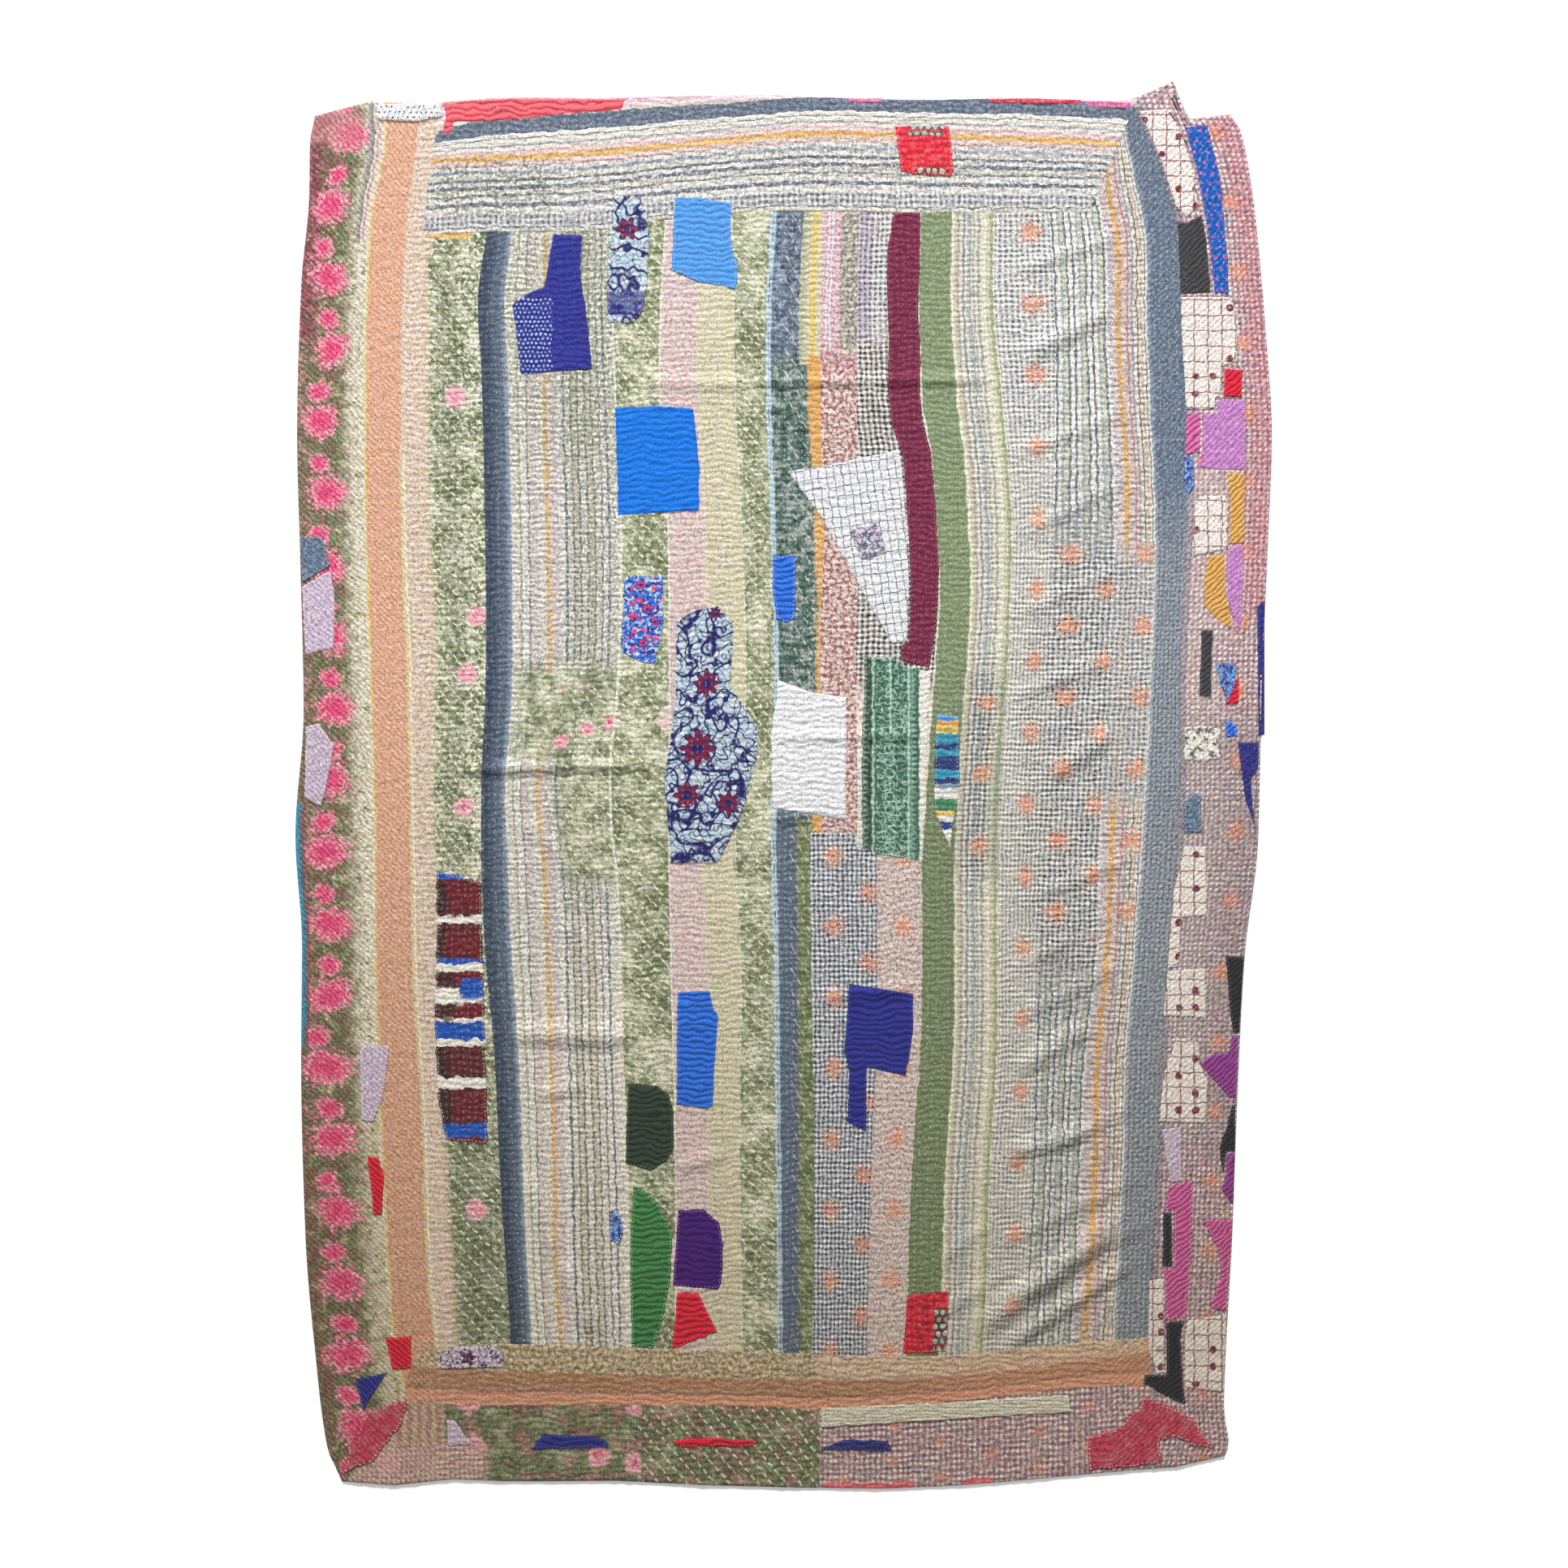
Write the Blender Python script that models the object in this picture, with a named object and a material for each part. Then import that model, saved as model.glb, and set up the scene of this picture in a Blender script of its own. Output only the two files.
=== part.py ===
"""A kantha quilt lying flat: worn cloths laid together, quilted in rows of running stitch, with patches sewn on.

Metres, +Z up. The origin is on the surface that the quilt lies on, under the middle of its outline, and
+Y is its head end. The outline, the folds and the patches are measured on a photograph taken from
straight above, so their tables are in its pixels, and PIXEL turns them into metres of quilt.
"""

from math import cos, hypot, pi, sin
from typing import NamedTuple

import bmesh
import bpy

# Driving sizes
WIDTH = 1.4436  # side to side, where the quilt is widest
LENGTH = 2.060  # head edge to foot edge, without the drawn-out corner
THICKNESS = 0.003  # of the layers in a furrow
RIDGE = 0.0012  # how far a pucker stands above the furrow beside it
RIDGE_PITCH = 0.024  # from one pucker to the next
PATCH_THICKNESS = 0.0008
CLEARANCE = 0.00035  # from the quilt to a patch that lies on it

# The photograph's measure
WIDTH_IN_PIXELS = 1203
PIXEL = WIDTH / WIDTH_IN_PIXELS
MIDDLE = (965.5, 966.5)

# Puckers wander, and slant upwards and outwards across the two side borders
WANDER = 0.0022
SIDE_BORDER = 0.115
SLANT = 0.034
SLANT_FADES_OVER = 0.08  # share of the length, at head and foot

# Rows of the mesh follow the puckers' crests and furrows, and the underside has a row for each few of them
ROWS = 2 * round(LENGTH / RIDGE_PITCH)
ROWS_TO_A_STEP = 4

# Where the mesh's columns start on the head edge, in pixels: closer where folds and the drawn-out corner are
COLUMNS = [388, 455, 530, 600, 640, 740, 850, 960, 1080, 1160, 1233, 1290, 1345, 1395, 1446, 1452, 1516]

# The four edges, in pixels: along the edge, then across it
LEFT_EDGE = [
    (143, 388), (180, 382), (260, 381), (380, 371), (560, 366), (720, 370), (900, 374), (1060, 364),
    (1190, 372), (1340, 371), (1540, 376), (1700, 390), (1790, 404), (1825, 421),
]
RIGHT_EDGE = [
    (141, 1516), (160, 1527), (190, 1534), (300, 1548), (440, 1560), (560, 1567), (700, 1562), (860, 1555),
    (1060, 1550), (1190, 1534), (1380, 1524), (1540, 1518), (1680, 1510), (1740, 1508), (1780, 1514), (1794, 1508),
]
HEAD_EDGE = [
    (388, 143), (405, 133), (480, 124), (530, 127), (630, 120), (730, 121), (930, 117), (1130, 123),
    (1230, 119), (1330, 123), (1400, 123), (1455, 127), (1500, 131), (1516, 141),
]
FOOT_EDGE = [
    (421, 1825), (440, 1832), (458, 1834), (480, 1831), (530, 1822), (640, 1825), (740, 1824), (880, 1830),
    (1080, 1834), (1180, 1830), (1330, 1817), (1440, 1808), (1480, 1806), (1508, 1794),
]

# The corner of the turned edge that is drawn out past the head, in pixels, and how it dies away
CORNER_START = 1398
CORNER_TIP = 1446
CORNER_END = 1452
CORNER_REACH = 27
CORNER_FADES_OVER = 0.060
CORNER_LIFT = 0.006


class Fold(NamedTuple):
    """A fold or wrinkle: its two ends in pixels, its height, and half its breadth."""

    start: tuple
    end: tuple
    height: float
    reach: float


FOLDS = [
    Fold((533, 950), (826, 940), 0.006, 0.016),
    Fold((935, 909), (1160, 905), 0.003, 0.014),
    Fold((862, 472), (1258, 468), 0.004, 0.014),
    Fold((620, 1272), (796, 1277), 0.007, 0.028),
    Fold((1252, 446), (1378, 376), 0.006, 0.024),
    Fold((1284, 964), (1378, 896), 0.006, 0.024),
    Fold((1244, 1324), (1352, 1256), 0.006, 0.024),
    Fold((1234, 1424), (1348, 1388), 0.006, 0.022),
    Fold((1190, 1650), (1400, 1482), 0.010, 0.028),
    Fold((1222, 1668), (1405, 1546), 0.007, 0.020),
    Fold((648, 1436), (690, 1560), 0.006, 0.024),
    Fold((686, 1540), (738, 1652), 0.006, 0.024),
    Fold((1233, 300), (1230, 1640), 0.002, 0.018),
    Fold((597, 300), (626, 1650), 0.003, 0.020),
]
FOLD_TAPER = 0.25  # share of a fold's length over which each end dies away


class Patch(NamedTuple):
    """A piece of cloth sewn on the quilt: its name, colour, and corners in pixels, going round."""

    name: str
    colour: tuple
    corners: list


NAVY = (0.03, 0.035, 0.26)
SKY = (0.08, 0.30, 0.80)
BRIGHT_BLUE = (0.0, 0.14, 0.75)
PALE_BLUE = (0.32, 0.48, 0.60)
MAROON = (0.20, 0.02, 0.10)
RED = (0.72, 0.05, 0.09)
CORAL = (0.90, 0.14, 0.17)
WHITE = (0.80, 0.80, 0.79)
GREEN = (0.07, 0.21, 0.14)
LEAF_GREEN = (0.04, 0.26, 0.06)
DARK_GREEN = (0.02, 0.035, 0.025)
PURPLE = (0.08, 0.01, 0.16)
LILAC = (0.48, 0.38, 0.52)
PINK = (0.62, 0.10, 0.32)
ORCHID = (0.42, 0.14, 0.45)
MUSTARD = (0.62, 0.34, 0.06)
BLACK = (0.025, 0.025, 0.027)
GROUND = (0.42, 0.38, 0.30)

PATCHES = [
    Patch("patch_navy_angle", NAVY, [
        (682, 289), (717, 291), (715, 338), (724, 395), (730, 456), (686, 458), (648, 462), (642, 460),
        (635, 398), (632, 376), (652, 362), (671, 355)]),
    Patch("patch_blossom_strip", PALE_BLUE, [
        (758, 243), (788, 241), (796, 264), (800, 288), (797, 352), (791, 387), (780, 399), (750, 398),
        (748, 352), (751, 306), (755, 276)]),
    Patch("patch_sky", SKY, [
        (831, 245), (858, 244), (902, 251), (900, 280), (903, 313), (909, 328), (909, 348), (905, 358),
        (892, 353), (861, 349), (827, 334), (829, 298)]),
    Patch("patch_bright_blue", BRIGHT_BLUE, [
        (758, 503), (812, 501), (854, 504), (858, 536), (862, 578), (861, 629), (762, 635), (761, 577)]),
    Patch("patch_small_flowers", NAVY, [
        (769, 711), (817, 710), (818, 768), (807, 818), (789, 816), (766, 803)]),
    Patch("patch_pale_flowers", PALE_BLUE, [
        (834, 765), (860, 752), (884, 747), (903, 768), (900, 845), (934, 898), (932, 934), (911, 1011),
        (884, 1063), (827, 1063), (819, 960), (832, 868)]),
    Patch("patch_blue_slip", SKY, [(952, 685), (980, 686), (979, 764), (969, 767), (957, 764), (952, 726)]),
    Patch("patch_white_wedge", WHITE, [
        (971, 581), (1015, 575), (1065, 564), (1107, 555), (1111, 575), (1116, 640), (1120, 715),
        (1117, 788), (1108, 793), (1099, 793), (1053, 711), (1015, 642)]),
    Patch("patch_maroon_strip", MAROON, [
        (1134, 263), (1133, 325), (1131, 386), (1134, 424), (1133, 482), (1136, 520), (1147, 558),
        (1152, 616), (1157, 700), (1153, 772), (1145, 823), (1110, 814), (1110, 796), (1119, 791),
        (1122, 715), (1118, 640), (1113, 566), (1099, 524), (1094, 482), (1095, 424), (1093, 371),
        (1093, 310), (1101, 263)]),
    Patch("patch_red_blossom", RED, [(1102, 157), (1169, 157), (1175, 210), (1170, 219), (1127, 216), (1110, 212)]),
    Patch("patch_white_seersucker", WHITE, [
        (959, 838), (996, 852), (1043, 860), (1042, 1011), (996, 1002), (952, 996), (950, 906), (957, 860)]),
    Patch("patch_green_band", GREEN, [
        (1065, 809), (1099, 810), (1112, 820), (1146, 828), (1143, 906), (1136, 1060), (1122, 1059),
        (1080, 1052), (1055, 1044), (1059, 944), (1064, 868)]),
    Patch("patch_bright_strip", SKY, [
        (1155, 881), (1181, 883), (1182, 967), (1174, 1013), (1170, 1044), (1160, 1021), (1151, 994), (1151, 925)]),
    Patch("patch_blue_tab", SKY, [
        (835, 1222), (874, 1221), (879, 1241), (885, 1251), (881, 1300), (878, 1361), (872, 1365), (834, 1360)]),
    Patch("patch_navy_hook", NAVY, [
        (1046, 1212), (1125, 1224), (1125, 1270), (1116, 1325), (1068, 1315), (1067, 1394), (1044, 1382),
        (1046, 1318), (1040, 1294)]),
    Patch("patch_dark_green", DARK_GREEN, [
        (774, 1334), (810, 1337), (825, 1348), (830, 1370), (830, 1413), (822, 1430), (802, 1442), (771, 1433)]),
    Patch("patch_green_leaf", LEAF_GREEN, [
        (781, 1460), (794, 1466), (812, 1484), (829, 1520), (826, 1575), (817, 1625), (805, 1662), (779, 1657),
        (777, 1580), (777, 1520)]),
    Patch("patch_purple", PURPLE, [
        (836, 1490), (867, 1490), (886, 1506), (891, 1533), (889, 1580), (884, 1588), (829, 1583)]),
    Patch("patch_red_wedge", RED, [(835, 1591), (860, 1592), (884, 1640), (828, 1662)]),
    Patch("patch_bar_stack", MAROON, [
        (538, 1073), (560, 1078), (593, 1088), (594, 1150), (598, 1294), (602, 1408), (551, 1404), (541, 1360),
        (536, 1270), (539, 1150)]),
    Patch("patch_red_square", RED, [(1118, 1595), (1168, 1590), (1166, 1664), (1112, 1667)]),
    Patch("patch_lilac_upper", LILAC, [(373, 723), (408, 703), (413, 735), (412, 799), (377, 806)]),
    Patch("patch_coral_band", CORAL, [
        (548, 130), (580, 125), (640, 123), (772, 124), (765, 137), (690, 142), (628, 149), (560, 152),
        (556, 166), (545, 166), (550, 146)]),
    Patch("patch_grey", BLACK, [(1450, 275), (1462, 275), (1480, 266), (1486, 300), (1491, 362), (1454, 363)]),
    Patch("patch_blue_band", BRIGHT_BLUE, [
        (1459, 158), (1487, 155), (1503, 223), (1512, 320), (1513, 363), (1496, 363), (1490, 305), (1483, 255),
        (1472, 202)]),
    Patch("patch_orchid", ORCHID, [
        (1500, 493), (1533, 494), (1534, 580), (1497, 579), (1475, 576), (1480, 558), (1482, 511), (1499, 509)]),
    Patch("patch_mustard", MUSTARD, [
        (1488, 686), (1508, 685), (1508, 728), (1518, 776), (1500, 765), (1484, 748), (1484, 712)]),
    Patch("patch_pink_strip", PINK, [
        (1440, 1460), (1469, 1453), (1468, 1530), (1461, 1622), (1436, 1626), (1433, 1563), (1446, 1562),
        (1446, 1492), (1434, 1490)]),
    Patch("patch_black_foot", BLACK, [
        (1436, 1629), (1458, 1627), (1454, 1650), (1456, 1690), (1460, 1729), (1444, 1724), (1408, 1704),
        (1410, 1693), (1436, 1694), (1437, 1660)]),
]


def clear_scene():
    """Removes every object that the scene starts with."""
    for obj in list(bpy.data.objects):
        bpy.data.objects.remove(obj)


def on_quilt(px, py):
    """The quilt's x and y, in metres, at a pixel of the photograph."""
    return (px - MIDDLE[0]) * PIXEL, (MIDDLE[1] - py) * PIXEL


def mix(start, end, share):
    """The value that lies a share of the way from start to end."""
    return start + (end - start) * share


def smooth_step(share):
    """0 to 1 with level ends, for a share from 0 to 1, and held there outside it."""
    share = max(0.0, min(1.0, share))
    return share * share * (3 - 2 * share)


def edge_slope(points, index):
    """An edge's slope at one of its points, level at a turning point, so that the curve never overshoots."""
    if index in (0, len(points) - 1):
        return 0.0
    (a, p), (b, q), (c, r) = points[index - 1 : index + 2]
    before, after = (q - p) / (b - a), (r - q) / (c - b)
    return 2 * before * after / (before + after) if before * after > 0 else 0.0


def edge_at(points, along):
    """Where an edge lies across its own direction, on a smooth curve through its points."""
    index = 0
    while index < len(points) - 2 and along > points[index + 1][0]:
        index += 1
    (a, p), (b, q) = points[index], points[index + 1]
    step = b - a
    t = max(0.0, min(1.0, (along - a) / step))
    start = edge_slope(points, index) * step
    end = edge_slope(points, index + 1) * step
    curve = 2 * t**3 - 3 * t**2
    return p * (1 + curve) - q * curve + start * (t**3 - 2 * t**2 + t) + end * (t**3 - t**2)


def outline_point(across, down):
    """The pixel at a share across and a share down the quilt, inside its four curved edges."""
    left = edge_at(LEFT_EDGE, mix(LEFT_EDGE[0][0], LEFT_EDGE[-1][0], down))
    right = edge_at(RIGHT_EDGE, mix(RIGHT_EDGE[0][0], RIGHT_EDGE[-1][0], down))
    head = edge_at(HEAD_EDGE, mix(HEAD_EDGE[0][0], HEAD_EDGE[-1][0], across))
    foot = edge_at(FOOT_EDGE, mix(FOOT_EDGE[0][0], FOOT_EDGE[-1][0], across))
    return mix(left, right, across), mix(head, foot, down)


def corner_share(px):
    """How far the drawn-out corner rises at a pixel across, from 0 to 1 at its tip."""
    if px <= CORNER_TIP:
        return max(0.0, (px - CORNER_START) / (CORNER_TIP - CORNER_START))
    return max(0.0, (CORNER_END - px) / (CORNER_END - CORNER_TIP))


def fold_height(x, y):
    """How far the folds and wrinkles lift the quilt at a place on it."""
    height = 0.0
    for fold in FOLDS:
        ax, ay = on_quilt(*fold.start)
        bx, by = on_quilt(*fold.end)
        length = hypot(bx - ax, by - ay)
        along = ((x - ax) * (bx - ax) + (y - ay) * (by - ay)) / length**2
        aside = abs((x - ax) * (by - ay) - (y - ay) * (bx - ax)) / length
        if aside >= fold.reach or not 0 < along < 1:
            continue
        ends = smooth_step(along / FOLD_TAPER) * smooth_step((1 - along) / FOLD_TAPER)
        height += fold.height * cos(pi / 2 * aside / fold.reach) ** 2 * ends
    return height


def row_shift(x, down):
    """How far a row of puckers strays from its level line at x: its wander, and its slant over the side borders."""
    settled = min(1.0, down / SLANT_FADES_OVER, (1 - down) / SLANT_FADES_OVER)
    wander = WANDER * (sin(23 * x + 9 * down) + sin(61 * x - 31 * down)) / 2
    outwards = (abs(x) - (WIDTH / 2 - SIDE_BORDER)) / SIDE_BORDER
    return settled * (wander + SLANT * max(0.0, outwards))


def surface_grid():
    """The quilt's upper surface as rows of points: x, y, height, and how much of the height is fold."""
    shares = [(px - COLUMNS[0]) / (COLUMNS[-1] - COLUMNS[0]) for px in COLUMNS]
    grid = []
    for row in range(ROWS + 1):
        down = row / ROWS
        points = []
        for across, column in zip(shares, COLUMNS):
            x, y = on_quilt(*outline_point(across, down))
            corner = corner_share(column) * max(0.0, 1 - down * LENGTH / CORNER_FADES_OVER)
            y += row_shift(x, down) + corner * CORNER_REACH * PIXEL
            lift = fold_height(x, y) + corner * CORNER_LIFT
            ridge = RIDGE if row % 2 else 0.0
            points.append((x, y, THICKNESS + ridge + lift, lift))
        grid.append(points)
    return grid


def under_lift(grid, row, column):
    """How far the underside is off the surface: the least fold near a place, so that it stays below the top."""
    rows = range(max(0, row - ROWS_TO_A_STEP), min(ROWS, row + ROWS_TO_A_STEP) + 1)
    columns = range(max(0, column - 1), min(len(COLUMNS) - 1, column + 1) + 1)
    return min(grid[r][c][3] for r in rows for c in columns)


def cell_triangles(corners):
    """A cell's two triangles, from its corners at head left, head right, foot left and foot right."""
    head_left, head_right, foot_left, foot_right = corners
    return [(head_left, foot_left, head_right), (head_right, foot_left, foot_right)]


def cells(grid, row_list):
    """The corners of each cell between the listed rows of a grid."""
    for upper, lower in zip(row_list, row_list[1:]):
        for column in range(len(COLUMNS) - 1):
            yield grid[upper][column], grid[upper][column + 1], grid[lower][column], grid[lower][column + 1]


def quilt_mesh(grid):
    """The quilted layers as one closed mesh, fine on top and plainer underneath."""
    mesh = bmesh.new()
    top = [[mesh.verts.new(point[:3]) for point in row] for row in grid]
    steps = list(range(0, ROWS, ROWS_TO_A_STEP)) + [ROWS]
    under = {
        row: [
            mesh.verts.new((point[0], point[1], under_lift(grid, row, column)))
            for column, point in enumerate(grid[row])
        ]
        for row in steps
    }
    for corners in cells(top, range(ROWS + 1)):
        for triangle in cell_triangles(corners):
            mesh.faces.new(triangle)
    for corners in cells(under, steps):
        for triangle in cell_triangles(corners):
            mesh.faces.new(triangle[::-1])
    for upper, lower in zip(steps, steps[1:]):
        for column, turned in ((0, 1), (len(COLUMNS) - 1, -1)):
            wall = [top[row][column] for row in range(upper, lower + 1)]
            wall += [under[lower][column], under[upper][column]]
            mesh.faces.new(wall[::-turned])
    for row, turned in ((0, 1), (ROWS, -1)):
        for column in range(len(COLUMNS) - 1):
            wall = [top[row][column], top[row][column + 1], under[row][column + 1], under[row][column]]
            mesh.faces.new(wall[::turned])
    return mesh


def patch_mesh(grid, corners):
    """The quilt's upper surface around a patch, lifted clear of it: an open sheet."""
    places = [on_quilt(*corner) for corner in corners]
    low = [min(place[axis] for place in places) for axis in (0, 1)]
    high = [max(place[axis] for place in places) for axis in (0, 1)]
    mesh = bmesh.new()
    made = {}
    for cell in cells(grid, range(ROWS + 1)):
        if any(max(c[a] for c in cell) < low[a] or min(c[a] for c in cell) > high[a] for a in (0, 1)):
            continue
        for point in cell:
            if point not in made:
                made[point] = mesh.verts.new((point[0], point[1], point[2] + CLEARANCE))
        for triangle in cell_triangles(cell):
            mesh.faces.new([made[point] for point in triangle])
    return mesh


def prism_mesh(corners, low, high):
    """A straight-sided block over an outline, to cut a patch to its shape."""
    mesh = bmesh.new()
    floor = [mesh.verts.new((*on_quilt(*corner), low)) for corner in corners]
    base = mesh.faces.new(floor)
    raised = bmesh.ops.extrude_face_region(mesh, geom=[base])["geom"]
    for vert in (item for item in raised if isinstance(item, bmesh.types.BMVert)):
        vert.co.z = high
    bmesh.ops.recalc_face_normals(mesh, faces=mesh.faces)
    return mesh


def add_object(name, mesh):
    """Puts a bmesh in the scene as a named object."""
    data = bpy.data.meshes.new(name)
    mesh.to_mesh(data)
    mesh.free()
    obj = bpy.data.objects.new(name, data)
    bpy.context.scene.collection.objects.link(obj)
    return obj


def cloth_material(name, colour):
    """Plain woven cotton of one colour."""
    material = bpy.data.materials.new(name)
    material.use_nodes = True
    shader = material.node_tree.nodes["Principled BSDF"]
    shader.inputs["Base Color"].default_value = (*colour, 1)
    shader.inputs["Roughness"].default_value = 0.9
    shader.inputs["Metallic"].default_value = 0
    return material


def add_patch(grid, patch):
    """A patch: the sheet over the quilt, given its thickness and cut to its outline."""
    sheet = add_object(patch.name, patch_mesh(grid, patch.corners))
    sheet.data.materials.append(cloth_material(patch.name + "_cloth", patch.colour))
    cutter = add_object(patch.name + "_cutter", prism_mesh(patch.corners, -THICKNESS, 10 * THICKNESS))
    cutter.hide_render = True
    cutter.display_type = "WIRE"
    thicken = sheet.modifiers.new("thickness", "SOLIDIFY")
    thicken.thickness = PATCH_THICKNESS
    thicken.offset = 1
    trim = sheet.modifiers.new("outline", "BOOLEAN")
    trim.operation = "INTERSECT"
    trim.solver = "EXACT"
    trim.object = cutter


def build():
    """Makes the quilt and its patches."""
    clear_scene()
    grid = surface_grid()
    body = add_object("quilt_body", quilt_mesh(grid))
    body.data.materials.append(cloth_material("quilt_cloth", GROUND))
    for patch in PATCHES:
        add_patch(grid, patch)


build()
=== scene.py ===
"""The kantha quilt, dressed: its pieced face, puckers, patches, sewing and back, laid round the frame's solids."""

import logging
import math
from collections.abc import Sequence
from dataclasses import dataclass
from enum import Enum
from functools import cache
from typing import Protocol, Union

import bpy
import numpy as np
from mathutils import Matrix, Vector
from mathutils.geometry import delaunay_2d_cdt


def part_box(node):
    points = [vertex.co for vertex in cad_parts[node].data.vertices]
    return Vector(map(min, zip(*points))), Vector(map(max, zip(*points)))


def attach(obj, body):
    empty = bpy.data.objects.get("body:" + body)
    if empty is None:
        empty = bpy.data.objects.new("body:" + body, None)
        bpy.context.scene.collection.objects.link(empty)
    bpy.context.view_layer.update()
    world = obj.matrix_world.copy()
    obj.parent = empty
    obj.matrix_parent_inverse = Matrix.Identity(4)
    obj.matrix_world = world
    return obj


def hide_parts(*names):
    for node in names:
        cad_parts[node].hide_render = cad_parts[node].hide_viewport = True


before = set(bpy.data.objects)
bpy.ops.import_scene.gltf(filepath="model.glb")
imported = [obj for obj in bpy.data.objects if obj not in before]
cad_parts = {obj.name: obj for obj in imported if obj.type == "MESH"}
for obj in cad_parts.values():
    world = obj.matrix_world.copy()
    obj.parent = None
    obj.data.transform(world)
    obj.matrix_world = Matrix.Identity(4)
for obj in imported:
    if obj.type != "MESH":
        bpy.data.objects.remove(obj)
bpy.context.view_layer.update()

LOG = logging.getLogger("kantha_quilt")

Socket = bpy.types.NodeSocket
Amount = Union[Socket, float]
Colour = Union[Socket, tuple[float, float, float, float]]
Points = np.ndarray

UV_SCALE = 1000.0  # a cloth's coordinates are kept in thousandths of its own units
STRAY = 2.6  # how far the sewing has pulled a pattern out of line, in pixels
FULL_TURN = 2 * math.pi


# Dyes


class Dye(Enum):
    """The dyes of the quilt's cloths, as red, green and blue from 0 to 255."""

    NAVY = (42, 47, 142)
    INK = (32, 32, 104)
    SKY = (82, 152, 228)
    BRIGHT_BLUE = (0, 116, 222)
    DEEP_BLUE = (16, 82, 182)
    MID_BLUE = (42, 108, 218)
    ICE_BLUE = (182, 206, 222)
    SLATE = (88, 104, 124)
    DARK_SLATE = (52, 68, 90)
    PALE_SLATE = (150, 166, 184)
    GREY = (112, 118, 124)
    BLACK = (44, 44, 48)
    CHAR = (62, 62, 64)
    WHITE = (232, 233, 236)
    ECRU = (230, 225, 208)
    IVORY = (238, 234, 224)
    PALE_YELLOW = (208, 202, 168)
    YELLOW = (226, 190, 74)
    ORANGE = (232, 176, 92)
    STAR_ORANGE = (236, 142, 98)
    PEACH = (218, 152, 120)
    BROWN_PEACH = (178, 128, 92)
    SAND = (214, 190, 160)
    BLUSH = (222, 204, 196)
    LILAC = (192, 166, 202)
    PALE_LILAC = (212, 200, 212)
    ORCHID = (190, 120, 192)
    VIOLET = (150, 64, 148)
    PURPLE = (68, 18, 118)
    ROSE = (222, 84, 122)
    HOT_PINK = (224, 60, 116)
    PALE_ROSE = (242, 176, 190)
    PINK = (204, 96, 156)
    CORAL = (246, 98, 108)
    RED = (218, 30, 54)
    CRIMSON = (196, 52, 84)
    MAROON = (118, 30, 68)
    WINE = (110, 18, 34)
    DARK_BROWN = (58, 32, 32)
    BROWN = (124, 92, 76)
    RUST = (150, 76, 78)
    RUST_PINK = (196, 132, 134)
    OLIVE = (118, 130, 84)
    DEEP_OLIVE = (88, 102, 62)
    SAGE = (160, 168, 134)
    CELERY = (200, 202, 168)
    BAND_GREEN = (124, 142, 104)
    TEAL_GREEN = (58, 108, 90)
    MINT = (170, 206, 186)
    LEAF_GREEN = (66, 130, 72)
    DARK_GREEN = (46, 62, 52)
    MUSTARD = (216, 162, 88)
    TURQUOISE = (44, 146, 176)

    @property
    def rgba(self) -> tuple[float, float, float, float]:
        """The dye in linear light, as a shader takes it."""
        return (*(((c / 255 + 0.055) / 1.055) ** 2.4 if c > 10 else c / 255 / 12.92 for c in self.value), 1.0)


# Node trees


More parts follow.
